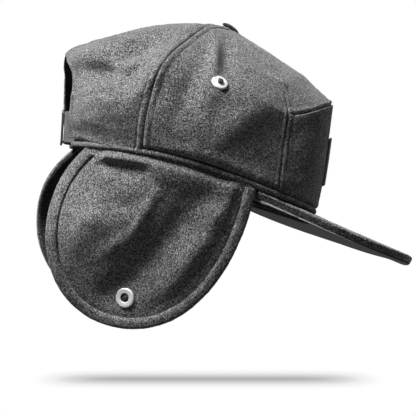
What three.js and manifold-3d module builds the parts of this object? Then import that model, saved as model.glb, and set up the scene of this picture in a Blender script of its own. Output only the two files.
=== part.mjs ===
// A wool cap with a flat visor, two hanging earflaps and a strap across the open back, in millimetres.
// +X points to the visor, +Y to the wearer's left and +Z up. The origin is the middle of the rim, where
// the head fills the cap. The cap is level here, as a head holds it, and its flaps hang free.

import * as THREE from 'three';
import { mergeVertices } from 'three/addons/utils/BufferGeometryUtils.js';
import Module from 'manifold-3d';

// Sewn pieces keep this gap.
const GAP = 0.3;

// The crown's surface runs over six meridians, from the middle of the front round to the middle of the
// back. Crispness 1 gives straight lines between levels, so that the front keeps its creased corner.
const MERIDIANS = [
  { name: 'front', angle: 0, crisp: 1 },
  { name: 'quarter', angle: 20, crisp: 1 },
  { name: 'seam', angle: 48.5, crisp: 0.85 },
  { name: 'side', angle: 90, crisp: 0.15 },
  { name: 'rearSeam', angle: 121, crisp: 0 },
  { name: 'back', angle: 180, crisp: 0 },
];

// Radius from the middle axis at each level, on each meridian.
const RADII = [
  { name: 'rim', front: 95.5, quarter: 97, seam: 87.5, side: 78, rearSeam: 84, back: 98.5 },
  { name: 'low', front: 95, quarter: 96.3, seam: 87, side: 80, rearSeam: 88, back: 101 },
  { name: 'mid', front: 92.8, quarter: 94.2, seam: 84.5, side: 81, rearSeam: 92, back: 106 },
  { name: 'shoulder', front: 89.8, quarter: 91, seam: 81.5, side: 79, rearSeam: 92, back: 111 },
  { name: 'crease', front: 87.3, quarter: 88.3, seam: 79.5, side: 73, rearSeam: 86, back: 112 },
  { name: 'slope', front: 60.5, quarter: 63, seam: 63, side: 57, rearSeam: 65, back: 87.5 },
  { name: 'top', front: 30, quarter: 31.5, seam: 33, side: 31, rearSeam: 36, back: 47 },
  { name: 'apex', front: 0, quarter: 0, seam: 0, side: 0, rearSeam: 0, back: 0 },
];

// Height over the rim's plane at each level, on each meridian.
const HEIGHTS = [
  { name: 'rim', front: 0, quarter: 0.8, seam: 4, side: 9, rearSeam: 8, back: 1 },
  { name: 'low', front: 18, quarter: 18, seam: 18, side: 24, rearSeam: 22, back: 17 },
  { name: 'mid', front: 40, quarter: 39, seam: 35, side: 41, rearSeam: 39, back: 35 },
  { name: 'shoulder', front: 66, quarter: 63, seam: 52, side: 58, rearSeam: 56, back: 53 },
  { name: 'crease', front: 84, quarter: 80.5, seam: 65, side: 74, rearSeam: 73.5, back: 70 },
  { name: 'slope', front: 98.8, quarter: 96.4, seam: 87, side: 92, rearSeam: 94, back: 87.5 },
  { name: 'top', front: 109, quarter: 108.6, seam: 107, side: 110.5, rearSeam: 113.3, back: 107.5 },
  { name: 'apex', front: 118.8, quarter: 118.8, seam: 118.8, side: 118.8, rearSeam: 118.8, back: 118.8 },
];
const CREASE_LEVEL = RADII.findIndex((level) => level.name === 'crease');
const APEX_LEVEL = RADII.length - 1;

// Folds and dents of the crown, seen from the side: middle, direction in degrees above +X, half length,
// half width and height. A negative height is a dent. Both sides of the crown have them, but the last.
const CROWN_FOLDS = [
  { name: 'long ridge', x: -66, z: 78, turn: 42, long: 44, wide: 9, height: 1.6 },
  { name: 'back swell', x: -72, z: 45, turn: 12, long: 26, wide: 10, height: 1.8 },
  { name: 'back hollow', x: -86, z: 62, turn: 25, long: 16, wide: 8, height: -1.8 },
  { name: 'low hollow', x: -62, z: 30, turn: 5, long: 26, wide: 8, height: -1.4 },
  { name: 'seam dent', x: -30, z: 86, turn: 72, long: 18, wide: 6, height: -1.6 },
  { name: 'top dent', x: -12, z: 96, turn: 80, long: 18, wide: 6, height: -2.0 },
  { name: 'side swell', x: -21, z: 60, turn: 80, long: 32, wide: 9, height: 1.8 },
  { name: 'corner swell', x: 22, z: 72, turn: 80, long: 16, wide: 9, height: 1.4 },
  { name: 'front hollow', x: 45, z: 42, turn: 78, long: 32, wide: 16, height: -2.0 },
];
const LEFT_FOLDS = [
  ...CROWN_FOLDS,
  { name: 'flared edge', x: -106, z: 50, turn: 90, long: 18, wide: 14, height: 4.6 },
];
// The folds fade out towards the middle line, over this half width, and below this level at the rim.
const FOLD_FADE = 34;
const FOLD_START_LEVEL = 0.3;
// About the height of one level.
const LEVEL_HEIGHT = 20;

// Front and top panels lie before the front seams, side panels before the rear seams, back panels behind.
const FRONT_SEAM = MERIDIANS[2].angle;
const REAR_SEAM = MERIDIANS[4].angle;
const PANEL = { thick: 2.0, aboveRim: 4.5, topRadius: 4 };

// The piping round the rim, from one edge of the back opening to the other.
const WELT = { halfHeight: 2.0, halfWidth: 1.6, rise: 2.2, depth: 0.4, end: 163, steps: 44, sides: 6 };

// The band inside the rim.
const SWEATBAND = { depth: 2.7, thick: 1.4, low: 1.8, high: 29, end: 149.5, steps: 40, rows: 3 };

// The opening in the back panels, an arch, and the strap across its foot.
const ARCH = { halfWidth: 26, top: 68, shoulder: 44, foot: -10, near: -60, far: -140 };
const STRAP = {
  thick: 1.6, low: 2.8, high: 25.5, end: 153, tuck: 3.3, proud: 1.1, ease: 12, steps: 16, rows: 2,
};
const SLIDE = { width: 18, height: 26, holeWidth: 12, holeHeight: 20, thick: 1.0, corner: 3 };

// The visor runs from corner to corner of the front. Its outer edge bends down at both sides, and the
// left corner hangs lower than the right.
const VISOR = {
  corner: 54, tip: 174, halfWidth: 87, tipFullness: 0.87, sideFullness: 1.17, sideReach: 36,
  cornerReach: 6, cornerProud: 1, cornerFrom: 0.5, rightCornerRise: 3.4, leftCornerRise: -1.6,
  edgeHeight: -4, tipHeight: -15.3, arch: 5.2, tuck: 2, below: 0.6, thick: 4.0, nose: 0.12, noseLimit: 0.92,
  steps: 28, rows: 7,
};
const UNDERLAY = { thick: 1.1, inset: 1.2, rows: 4 };

// The outline of a flap in the side view, as two cubic curves from the back of the rim to its front.
const FLAP_OUTLINE = {
  back: [[-84, 3], [-113, -48], [-85, -114.5], [-33, -114.5]],
  front: [[-33, -114.5], [20, -114.5], [44, -56], [40, 4]],
};
const FLAP = {
  thick: 2.0, halfSpread: 76, bow: 0.0036, middle: -6, inset: 2.8, settle: 70,
  below: 0.5, topBack: -78, topFront: 36, cornerDrop: 1.6, steps: 30,
  rows: [0, 0.08, 0.24, 0.44, 0.64, 0.84], lastRowFrom: 0.3, foldFade: 14, endShare: 0.25, stepShare: 0.004,
};
// Each flap hangs in its own way: turned about the rim, shifted, drawn up, and leaning in below.
const FLAP_HANG = {
  right: { side: -1, swing: 0, shift: 0, rise: 1, lean: 0.1 },
  left: { side: 1, swing: 4.8, shift: -4.2, rise: 0.9, lean: 0.28 },
};
const FLAP_TURN_AT = -25;

// Folds of a flap, in the same columns as the crown's.
const FLAP_FOLDS = [
  { name: 'back swell', x: -74, z: -32, turn: 70, long: 26, wide: 16, height: 2.2 },
  { name: 'middle hollow', x: -24, z: -48, turn: 69, long: 56, wide: 8, height: -2.2 },
  { name: 'small ridge', x: -36, z: -36, turn: 75, long: 20, wide: 5, height: 1.2 },
  { name: 'front ridge', x: -9, z: -60, turn: 66, long: 32, wide: 7, height: 2.2 },
  { name: 'front hollow', x: 14, z: -64, turn: 68, long: 26, wide: 6, height: -1.4 },
  { name: 'rim dimple', x: -56, z: -4, turn: -8, long: 20, wide: 4, height: -2.4 },
];

// The binding folds over the flap's edge: a channel with two legs.
const BINDING = { outside: 1.9, leg: 7, wall: 1.2, slack: 0.9 };

// The snap on each flap's lower edge and the stud that it fastens to on the crown.
// Their profiles, and the button's, are rows of radius and height above the cloth.
const SNAP = { x: -26.5, z: -93.5, sides: 20 };
const SNAP_PROFILE = [
  [0, 0], [7, 0], [7, 0.9], [5.9, 2], [4.3, 2], [3.1, 1.2], [3.1, 0.7], [1.7, 0.7], [1.7, 1.4], [0, 1.4],
];
const STUD = { x: -3, z: 71, sides: 18 };
const STUD_PROFILE = [
  [0, 0], [6.2, 0], [6.2, 0.6], [5.2, 1.2], [3, 1.2], [2.2, 1.7], [2.2, 2.7], [1.3, 3.2], [0, 3.2],
];

// The covered button on the apex, tipped towards the front, with a neck through the crown.
const BUTTON = { rise: 118.8, tip: 14, sides: 20 };
const BUTTON_PROFILE = [
  [0, -4], [2.8, -4], [2.8, 0], [6.4, 0], [7, 0.5], [6.3, 1.65], [3.85, 2.7], [0, 3],
];

// The blank patch on the front, a stiff plate that bends less than the cloth under it.
const PATCH = { halfWidth: 20, radius: 94, low: 22.5, high: 58, thick: 1.2, bend: 0.85, columns: 8, rows: 4 };

const COLOURS = {
  wool: { color: 0x454548, roughness: 0.95, metalness: 0 },
  darkWool: { color: 0x2b2b2d, roughness: 0.95, metalness: 0 },
  lining: { color: 0x1f1f21, roughness: 0.9, metalness: 0 },
  greyCotton: { color: 0x77777a, roughness: 0.85, metalness: 0 },
  webbing: { color: 0xa0a0a4, roughness: 0.8, metalness: 0 },
  patch: { color: 0x8d8c95, roughness: 0.7, metalness: 0 },
  steel: { color: 0xd6d6d4, roughness: 0.3, metalness: 0.9 },
};

const radians = THREE.MathUtils.degToRad;
const degrees = THREE.MathUtils.radToDeg;
const lerp = THREE.MathUtils.lerp;
const clamp = THREE.MathUtils.clamp;
const smooth = (value) => THREE.MathUtils.smoothstep(value, 0, 1);

const wasm = await Module();
wasm.setup();

// Cubic through the values at the knots, with the slope of a Catmull-Rom curve.
// Where the ends are flat the curve meets its mirror image without a kink.
function throughKnots(knots, values, at, flatEnds) {
  const last = knots.length - 1;
  let k = 0;
  while (k < last - 1 && at >= knots[k + 1]) k += 1;
  const slope = (i) => {
    if (i > 0 && i < last) return (values[i + 1] - values[i - 1]) / (knots[i + 1] - knots[i - 1]);
    if (flatEnds) return 0;
    const j = i === 0 ? 0 : last - 1;
    return (values[j + 1] - values[j]) / (knots[j + 1] - knots[j]);
  };
  const span = knots[k + 1] - knots[k];
  const t = (at - knots[k]) / span;
  const tt = t * t;
  const ttt = tt * t;
  return (2 * ttt - 3 * tt + 1) * values[k] + (ttt - 2 * tt + t) * span * slope(k)
    + (3 * tt - 2 * ttt) * values[k + 1] + (ttt - tt) * span * slope(k + 1);
}

const LEVEL_KNOTS = RADII.map((level, i) => i);
const MERIDIAN_ANGLES = MERIDIANS.map((meridian) => meridian.angle);

// A table's value at a level, on one meridian.
function onMeridian(table, meridian, level) {
  const values = table.map((row) => row[meridian.name]);
  const curved = throughKnots(LEVEL_KNOTS, values, level, false);
  const below = clamp(Math.floor(level), 0, APEX_LEVEL - 1);
  const straight = lerp(values[below], values[below + 1], level - below);
  return lerp(curved, straight, meridian.crisp);
}

// Radius and height of the crown at an angle from the front and a level between rim and apex.
function crownProfile(angle, level) {
  const turned = Math.abs(angle);
  const read = (table) => {
    const values = MERIDIANS.map((meridian) => onMeridian(table, meridian, level));
    return throughKnots(MERIDIAN_ANGLES, values, turned, true);
  };
  return { radius: read(RADII), height: read(HEIGHTS) };
}

function crownBase(angle, level) {
  const { radius, height } = crownProfile(angle, level);
  return new THREE.Vector3(radius * Math.cos(radians(angle)), radius * Math.sin(radians(angle)), height);
}

// Rounds of a search for a place on a surface.
const SEARCH_STEPS = 20;

const ANGLE_STEP = 1.5;
const LEVEL_STEP = 0.12;

// Outward normal, averaged over a small patch so that the creased corner is mitred.
function crownNormal(angle, level) {
  const around = crownBase(angle + ANGLE_STEP, level).sub(crownBase(angle - ANGLE_STEP, level));
  const low = Math.max(level - LEVEL_STEP, 0);
  const high = Math.min(level + LEVEL_STEP, APEX_LEVEL);
  const up = crownBase(angle, high).sub(crownBase(angle, low));
  return around.cross(up).normalize();
}

// Height that a table of folds adds at a place of the side view.
function foldHeight(folds, x, z) {
  let sum = 0;
  for (const fold of folds) {
    const turn = radians(fold.turn);
    const along = (x - fold.x) * Math.cos(turn) + (z - fold.z) * Math.sin(turn);
    const across = (z - fold.z) * Math.cos(turn) - (x - fold.x) * Math.sin(turn);
    sum += fold.height * Math.exp(-((along / fold.long) ** 2) - (across / fold.wide) ** 2);
  }
  return sum;
}

// A point of the crown, a depth below its outer face. The folds fade out at the rim and the middle line.
function crownAt(angle, level, depth) {
  const base = crownBase(angle, level);
  const fade = smooth(Math.abs(base.y) / FOLD_FADE) * smooth(level - FOLD_START_LEVEL);
  const lift = fade * foldHeight(base.y > 0 ? LEFT_FOLDS : CROWN_FOLDS, base.x, base.z);
  return base.addScaledVector(crownNormal(angle, level), lift - depth);
}

// The level that lies a height above the rim, at an angle.
function levelAbove(angle, height) {
  const rim = crownProfile(angle, 0).height;
  let k = 1;
  while (crownProfile(angle, k).height - rim < height) k += 1;
  const low = crownProfile(angle, k - 1).height - rim;
  const high = crownProfile(angle, k).height - rim;
  return k - 1 + (height - low) / (high - low);
}

// The rim at a distance X from the middle: its half width and its height.
const RIM_ANGLES = Array.from({ length: 181 }, (unused, angle) => angle);
const RIM = RIM_ANGLES.map((angle) => crownBase(angle, 0));
function rimAt(x) {
  let k = 0;
  while (k < RIM.length - 2 && RIM[k + 1].x > x) k += 1;
  const t = (x - RIM[k].x) / (RIM[k + 1].x - RIM[k].x);
  return { halfWidth: lerp(RIM[k].y, RIM[k + 1].y, t), height: lerp(RIM[k].z, RIM[k + 1].z, t) };
}

// A closed mesh from points and triangles, with its faces out.
function solid(points, triangles) {
  let volume = 0;
  for (const [a, b, c] of triangles) {
    volume += points[a].dot(new THREE.Vector3().crossVectors(points[b], points[c])) / 6;
  }
  const geometry = new THREE.BufferGeometry();
  const values = points.flatMap((point) => point.toArray());
  geometry.setAttribute('position', new THREE.Float32BufferAttribute(values, 3));
  geometry.setIndex(triangles.flatMap(([a, b, c]) => (volume > 0 ? [a, b, c] : [a, c, b])));
  return geometry;
}

// A sheet with thickness: two grids of points, joined round their edge.
function sheet(outer, inner, columns, rows) {
  const points = [];
  const triangles = [];
  const stride = rows + 1;
  const half = (columns + 1) * stride;
  for (const face of [outer, inner]) {
    for (let i = 0; i <= columns; i += 1) {
      for (let j = 0; j <= rows; j += 1) points.push(face(i, j));
    }
  }
  const quad = (a, b, c, d) => triangles.push([a, b, c], [a, c, d]);
  const at = (i, j) => i * stride + j;
  for (let i = 0; i < columns; i += 1) {
    for (let j = 0; j < rows; j += 1) {
      quad(at(i, j), at(i + 1, j), at(i + 1, j + 1), at(i, j + 1));
      quad(half + at(i, j + 1), half + at(i + 1, j + 1), half + at(i + 1, j), half + at(i, j));
    }
    quad(at(i + 1, 0), at(i, 0), half + at(i, 0), half + at(i + 1, 0));
    quad(at(i, rows), at(i + 1, rows), half + at(i + 1, rows), half + at(i, rows));
  }
  for (let j = 0; j < rows; j += 1) {
    quad(at(0, j), at(0, j + 1), half + at(0, j + 1), half + at(0, j));
    quad(at(columns, j + 1), at(columns, j), half + at(columns, j), half + at(columns, j + 1));
  }
  return solid(points, triangles);
}

// A bar whose section is a loop of points, with a flat cap at each end.
function bar(loops, capTriangles) {
  const points = loops.flat();
  const sides = loops[0].length;
  const triangles = [];
  for (let i = 0; i < loops.length - 1; i += 1) {
    for (let k = 0; k < sides; k += 1) {
      const a = i * sides + k;
      const b = i * sides + ((k + 1) % sides);
      triangles.push([a, b, b + sides], [a, b + sides, a + sides]);
    }
  }
  const end = (loops.length - 1) * sides;
  for (const [a, b, c] of capTriangles) {
    triangles.push([c, b, a]);
    triangles.push([end + a, end + b, end + c]);
  }
  return solid(points, triangles);
}

// Fan over a convex section.
function fan(sides) {
  return Array.from({ length: sides - 2 }, (unused, k) => [0, k + 1, k + 2]);
}

function toManifold(geometry) {
  const bare = geometry.clone();
  bare.deleteAttribute('normal');
  bare.deleteAttribute('uv');
  const merged = mergeVertices(bare);
  return new wasm.Manifold(new wasm.Mesh({
    numProp: 3,
    vertProperties: Float32Array.from(merged.getAttribute('position').array),
    triVerts: Uint32Array.from(merged.getIndex().array),
  }));
}

function subtract(geometry, tool) {
  const mesh = toManifold(geometry).subtract(toManifold(tool)).getMesh();
  const result = new THREE.BufferGeometry();
  result.setAttribute('position', new THREE.Float32BufferAttribute(mesh.vertProperties, mesh.numProp));
  result.setIndex(Array.from(mesh.triVerts));
  return result;
}

// The crown's panels

// Half a gap, as an angle at a place on the crown.
function seamAngle(angle, level) {
  return degrees(GAP / 2 / crownProfile(angle, level).radius);
}

// The level at which the crown is as narrow as the hole under the button.
function topLevel(angle) {
  let level = APEX_LEVEL;
  while (crownProfile(angle, level).radius < PANEL.topRadius) level -= 0.01;
  return level;
}

// A panel between two angles and two levels. The rows follow the levels, so that seams and crease meet.
function crownPanel({ from, to, low, high, columns, rows }) {
  const face = (depth) => (i, j) => {
    const plain = lerp(from, to, i / columns);
    const level = lerp(low(plain), high(plain), j / rows);
    const start = from + seamAngle(from, level);
    const end = to - seamAngle(to, level);
    return crownAt(lerp(start, end, i / columns), level, depth);
  };
  return sheet(face(0), face(PANEL.thick), columns, rows);
}

const fromRim = (angle) => levelAbove(angle, PANEL.aboveRim);
const CREASE_GAP = GAP / 2 / LEVEL_HEIGHT;

function archCutter() {
  const outline = new THREE.Shape();
  outline.moveTo(-ARCH.halfWidth, ARCH.foot);
  outline.lineTo(ARCH.halfWidth, ARCH.foot);
  outline.lineTo(ARCH.halfWidth, ARCH.shoulder);
  outline.absellipse(0, ARCH.shoulder, ARCH.halfWidth, ARCH.top - ARCH.shoulder, 0, Math.PI);
  outline.closePath();
  const geometry = new THREE.ExtrudeGeometry(outline, {
    depth: ARCH.near - ARCH.far, bevelEnabled: false, curveSegments: 10,
  });
  const axes = new THREE.Matrix4().makeBasis(
    new THREE.Vector3(0, 1, 0), new THREE.Vector3(0, 0, 1), new THREE.Vector3(1, 0, 0),
  );
  return geometry.applyMatrix4(axes.setPosition(ARCH.far, 0, 0));
}

function backPanel(side) {
  const panel = crownPanel({
    from: side > 0 ? REAR_SEAM : -180,
    to: side > 0 ? 180 : -REAR_SEAM,
    low: fromRim,
    high: topLevel,
    columns: 9,
    rows: 14,
  });
  return subtract(panel, archCutter());
}

function sidePanel(side) {
  return crownPanel({
    from: side > 0 ? FRONT_SEAM : -REAR_SEAM,
    to: side > 0 ? REAR_SEAM : -FRONT_SEAM,
    low: fromRim,
    high: topLevel,
    columns: 11,
    rows: 14,
  });
}

// The rim's piping, sweatband and strap

function weltLoop(angle) {
  const level = levelAbove(angle, WELT.rise);
  const middle = crownAt(angle, level, WELT.depth);
  const out = crownNormal(angle, level);
  const around = crownBase(angle + ANGLE_STEP, level).sub(crownBase(angle - ANGLE_STEP, level)).normalize();
  const up = new THREE.Vector3().crossVectors(out, around);
  return Array.from({ length: WELT.sides }, (unused, k) => {
    const turn = (2 * Math.PI * (k + 0.5)) / WELT.sides;
    return middle.clone()
      .addScaledVector(out, WELT.halfWidth * Math.cos(turn))
      .addScaledVector(up, WELT.halfHeight * Math.sin(turn));
  });
}

function rimWelt() {
  const loops = Array.from({ length: WELT.steps + 1 }, (unused, i) => (
    weltLoop(lerp(-WELT.end, WELT.end, i / WELT.steps))
  ));
  return bar(loops, fan(WELT.sides));
}

function sweatband() {
  const face = (depth) => (i, j) => {
    const angle = lerp(-SWEATBAND.end, SWEATBAND.end, i / SWEATBAND.steps);
    const height = lerp(SWEATBAND.low, SWEATBAND.high, j / SWEATBAND.rows);
    return crownAt(angle, levelAbove(angle, height), depth);
  };
  const inside = SWEATBAND.depth + SWEATBAND.thick;
  return sheet(face(SWEATBAND.depth), face(inside), SWEATBAND.steps, SWEATBAND.rows);
}

// The strap lies inside both back panels and comes out level with them in the opening.
function strapDepth(angle) {
  const half = Math.abs(crownBase(angle, 1).y);
  return lerp(STRAP.proud, STRAP.tuck, smooth((half - ARCH.halfWidth + 1 + STRAP.ease) / STRAP.ease));
}

function backStrap() {
  const face = (extra) => (i, j) => {
    const angle = lerp(STRAP.end, 360 - STRAP.end, i / STRAP.steps);
    const turned = angle > 180 ? angle - 360 : angle;
    const height = lerp(STRAP.low, STRAP.high, j / STRAP.rows);
    return crownAt(turned, levelAbove(turned, height), strapDepth(turned) + extra);
  };
  return sheet(face(0), face(STRAP.thick), STRAP.steps, STRAP.rows);
}

function roundedRectangle(path, width, height, corner) {
  const x = width / 2;
  const y = height / 2;
  path.moveTo(-x + corner, -y);
  path.lineTo(x - corner, -y);
  path.absarc(x - corner, -y + corner, corner, -Math.PI / 2, 0);
  path.lineTo(x, y - corner);
  path.absarc(x - corner, y - corner, corner, 0, Math.PI / 2);
  path.lineTo(-x + corner, y);
  path.absarc(-x + corner, y - corner, corner, Math.PI / 2, Math.PI);
  path.lineTo(-x, -y + corner);
  path.absarc(-x + corner, -y + corner, corner, Math.PI, 1.5 * Math.PI);
}

// The slide is a plain frame on the strap's outer face, square to it.
function strapSlide() {
  const outline = new THREE.Shape();
  roundedRectangle(outline, SLIDE.width, SLIDE.height, SLIDE.corner);
  const hole = new THREE.Path();
  roundedRectangle(hole, SLIDE.holeWidth, SLIDE.holeHeight, SLIDE.corner / 2);
  outline.holes.push(hole);
  const geometry = new THREE.ExtrudeGeometry(outline, {
    depth: SLIDE.thick, bevelEnabled: false, curveSegments: 3,
  });
  const low = crownAt(180, levelAbove(180, STRAP.low), STRAP.proud);
  const high = crownAt(180, levelAbove(180, STRAP.high), STRAP.proud);
  const up = high.clone().sub(low).normalize();
  const across = new THREE.Vector3(0, -1, 0);
  const out = new THREE.Vector3().crossVectors(across, up);
  const middle = low.add(high).multiplyScalar(0.5).addScaledVector(out, 2 * GAP);
  return geometry.applyMatrix4(new THREE.Matrix4().makeBasis(across, up, out).setPosition(middle));
}

// The visor

function bezier(corners, t) {
  const [a, b, c, d] = corners;
  const blend = (k) => (
    (1 - t) ** 3 * a[k] + 3 * (1 - t) ** 2 * t * b[k] + 3 * (1 - t) * t ** 2 * c[k] + t ** 3 * d[k]
  );
  return [blend(0), blend(1)];
}

// The joint under the rim, at a share of the way from one corner to the other.
function visorJoint(share) {
  const angle = lerp(-VISOR.corner, VISOR.corner, share);
  const rim = crownBase(angle, 0);
  const inward = new THREE.Vector3(-Math.cos(radians(angle)), -Math.sin(radians(angle)), 0);
  return rim.addScaledVector(inward, VISOR.tuck).add(new THREE.Vector3(0, 0, -VISOR.below));
}

// The visor's outer edge, at the height of its upper face.
function visorEdge(share) {
  const away = Math.abs(2 * share - 1);
  const side = share < 0.5 ? -1 : 1;
  const corner = crownBase(VISOR.corner, 0);
  const [x, y] = bezier([
    [VISOR.tip, 0],
    [VISOR.tip, VISOR.halfWidth * VISOR.tipFullness],
    [corner.x + VISOR.sideReach, VISOR.halfWidth * VISOR.sideFullness],
    [corner.x + VISOR.cornerReach, corner.y + VISOR.cornerProud],
  ], away);
  const front = RADII[0].front;
  const along = (x - front) / (VISOR.tip - front);
  const half = VISOR.thick / 2 + (GAP + UNDERLAY.thick) / 2;
  const level = lerp(VISOR.edgeHeight, VISOR.tipHeight, along) + half;
  const cornerRise = side < 0 ? VISOR.rightCornerRise : VISOR.leftCornerRise;
  const rise = cornerRise * smooth((away - VISOR.cornerFrom) / (1 - VISOR.cornerFrom));
  const height = level - VISOR.arch * (y / VISOR.halfWidth) ** 2 + rise;
  return new THREE.Vector3(x, side * y, height);
}

// A face of the visor, a depth below the upper face, drawn back from the outer edge by an inset.
function visorFace(rows, depthAt, inset) {
  return (i, j) => {
    const share = i / VISOR.steps;
    const joint = visorJoint(share);
    const edge = visorEdge(share);
    const reach = edge.clone().sub(joint);
    const part = (j / rows) * (1 - inset / reach.length());
    return joint.addScaledVector(reach, part).add(new THREE.Vector3(0, 0, -depthAt(part)));
  };
}

// The outer edge is rounded: the thickness closes over the last stretch.
function noseShare(part) {
  const along = clamp((part - 1 + VISOR.nose) / VISOR.nose, 0, VISOR.noseLimit);
  return Math.sqrt(1 - along ** 2);
}

function visor() {
  const middle = VISOR.thick / 2;
  const top = visorFace(VISOR.rows, (part) => middle - middle * noseShare(part), 0);
  const bottom = visorFace(VISOR.rows, (part) => middle + middle * noseShare(part), 0);
  return sheet(top, bottom, VISOR.steps, VISOR.rows);
}

function visorUnderlay() {
  const level = VISOR.thick + GAP;
  const top = visorFace(UNDERLAY.rows, () => level, UNDERLAY.inset);
  const bottom = visorFace(UNDERLAY.rows, () => level + UNDERLAY.thick, UNDERLAY.inset);
  return sheet(top, bottom, VISOR.steps, UNDERLAY.rows);
}

// The earflaps. Each is a sheet over the side view, hung outside the ear.

// Place in the side view after the flap has swung about the rim, shifted and drawn up.
function hung(hang, x, z) {
  const swing = radians(hang.swing);
  const away = x - FLAP_TURN_AT;
  return {
    x: FLAP_TURN_AT + hang.shift + away * Math.cos(swing) + z * Math.sin(swing),
    z: hang.rise * (z * Math.cos(swing) - away * Math.sin(swing)),
  };
}

// The rim over the flap. Beyond the flap's ends the half width runs on straight.
function rimOverFlap(x) {
  const near = clamp(x, FLAP_OUTLINE.back[0][0], FLAP_OUTLINE.front[3][0]);
  const rim = rimAt(near);
  const slope = (rimAt(near + 1).halfWidth - rimAt(near - 1).halfWidth) / 2;
  return { halfWidth: rim.halfWidth + slope * (x - near), height: rim.height };
}

// Distance from the middle plane of the flap's middle layer, at a place of the side view.
function flapSpread(hang, x, z) {
  const rim = rimOverFlap(x);
  const drop = Math.max(rim.height - z, 0);
  const settled = smooth(drop / FLAP.settle);
  const flat = FLAP.halfSpread - FLAP.bow * (x - FLAP.middle) ** 2;
  return lerp(rim.halfWidth - FLAP.inset, flat, settled) - hang.lean * drop;
}

// The folds belong to the flap, so they are read before it is hung. They fade out at its edge.
function flapBase(hang, x, z, fade) {
  const place = hung(hang, x, z);
  const lift = fade * foldHeight(FLAP_FOLDS, x, z);
  return new THREE.Vector3(place.x, hang.side * (flapSpread(hang, place.x, place.z) + lift), place.z);
}

const PROBE = 1;
function flapAt(hang, x, z, offset, fade) {
  const along = flapBase(hang, x + PROBE, z, fade).sub(flapBase(hang, x - PROBE, z, fade));
  const up = flapBase(hang, x, z + PROBE, fade).sub(flapBase(hang, x, z - PROBE, fade));
  const out = along.cross(up).normalize();
  if (out.y * hang.side < 0) out.negate();
  return flapBase(hang, x, z, fade).addScaledVector(out, offset);
}

// The place before hanging that comes to lie under the rim at X.
function underRim(hang, x, drop) {
  let z = 0;
  for (let n = 0; n < SEARCH_STEPS; n += 1) {
    const place = hung(hang, x, z);
    z += rimOverFlap(place.x).height - drop - place.z;
  }
  return z;
}

// The outline from back to front, its ends brought to the rim, with the direction that points inward.
function flapEdge(hang, share) {
  const at = (t) => {
    const [x, z] = t < 0.5 ? bezier(FLAP_OUTLINE.back, 2 * t) : bezier(FLAP_OUTLINE.front, 2 * t - 1);
    const ends = [FLAP_OUTLINE.back[0], FLAP_OUTLINE.front[3]];
    const near = t < 0.5 ? ends[0] : ends[1];
    const wanted = underRim(hang, near[0], FLAP.below + FLAP.cornerDrop);
    const pull = smooth(1 - Math.min(t, 1 - t) / FLAP.endShare);
    return new THREE.Vector2(x, z + pull * (wanted - near[1]));
  };
  const before = at(Math.max(share - FLAP.stepShare, 0));
  const ahead = at(Math.min(share + FLAP.stepShare, 1)).sub(before).normalize();
  return { place: at(share), inward: new THREE.Vector2(-ahead.y, ahead.x) };
}

// The flap's grid runs in lines from the rim to the outline. Its last row keeps the binding's width.
function earflap(hang) {
  const edge = Array.from({ length: FLAP.steps + 1 }, (unused, i) => flapEdge(hang, i / FLAP.steps));
  const clearOfEdge = (place) => Math.min(...edge.map((end) => end.place.distanceTo(place)));
  const lastRow = FLAP.rows.length;
  const face = (offset) => (i, j) => {
    const end = edge[i];
    const topX = lerp(FLAP.topBack, FLAP.topFront, i / FLAP.steps);
    const place = new THREE.Vector2(topX, underRim(hang, topX, FLAP.below));
    const line = end.place.clone().sub(place);
    const slant = Math.max(-line.clone().normalize().dot(end.inward), 0.5);
    const width = (BINDING.leg + 1) / slant;
    const bound = Math.max(1 - width / line.length(), FLAP.lastRowFrom);
    place.addScaledVector(line, j === lastRow ? 1 : bound * (FLAP.rows[j] / FLAP.rows[lastRow - 1]));
    const fade = smooth((clearOfEdge(place) - BINDING.leg - 1) / FLAP.foldFade);
    return flapAt(hang, place.x, place.y, offset, fade);
  };
  return sheet(face(FLAP.thick / 2), face(-FLAP.thick / 2), FLAP.steps, lastRow);
}

// The channel's section, in rows of distance inward from the flap's edge and height off its middle layer.
const CHANNEL_INSIDE = FLAP.thick / 2 + BINDING.slack;
const CHANNEL_OUTSIDE = CHANNEL_INSIDE + BINDING.wall;
const CHANNEL = [
  [BINDING.leg, CHANNEL_INSIDE],
  [BINDING.leg, CHANNEL_OUTSIDE - 0.3],
  [BINDING.leg / 2, CHANNEL_OUTSIDE],
  [-BINDING.outside / 3, CHANNEL_OUTSIDE * 0.85],
  [-BINDING.outside, CHANNEL_OUTSIDE * 0.35],
  [-BINDING.outside, -CHANNEL_OUTSIDE * 0.35],
  [-BINDING.outside / 3, -CHANNEL_OUTSIDE * 0.85],
  [BINDING.leg / 2, -CHANNEL_OUTSIDE],
  [BINDING.leg, -CHANNEL_OUTSIDE + 0.3],
  [BINDING.leg, -CHANNEL_INSIDE],
  [-GAP, -CHANNEL_INSIDE],
  [-GAP, CHANNEL_INSIDE],
];

function earflapBinding(hang) {
  const loops = Array.from({ length: FLAP.steps + 1 }, (unused, i) => {
    const { place, inward } = flapEdge(hang, i / FLAP.steps);
    return CHANNEL.map(([distance, offset]) => (
      flapAt(hang, place.x + inward.x * distance, place.y + inward.y * distance, offset, 0)
    ));
  });
  const section = CHANNEL.map(([distance, offset]) => new THREE.Vector2(distance, offset));
  return bar(loops, THREE.ShapeUtils.triangulateShape(section, []));
}

// Metal parts and button, turned about their own axis and then set on the cloth

function turned(profile, sides) {
  return new THREE.LatheGeometry(profile.map(([radius, height]) => new THREE.Vector2(radius, height)), sides);
}

// Sets a turned piece on a place with its axis along a direction.
function setOn(mesh, place, direction) {
  mesh.position.copy(place);
  mesh.quaternion.setFromUnitVectors(new THREE.Vector3(0, 1, 0), direction);
  return mesh;
}

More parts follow.
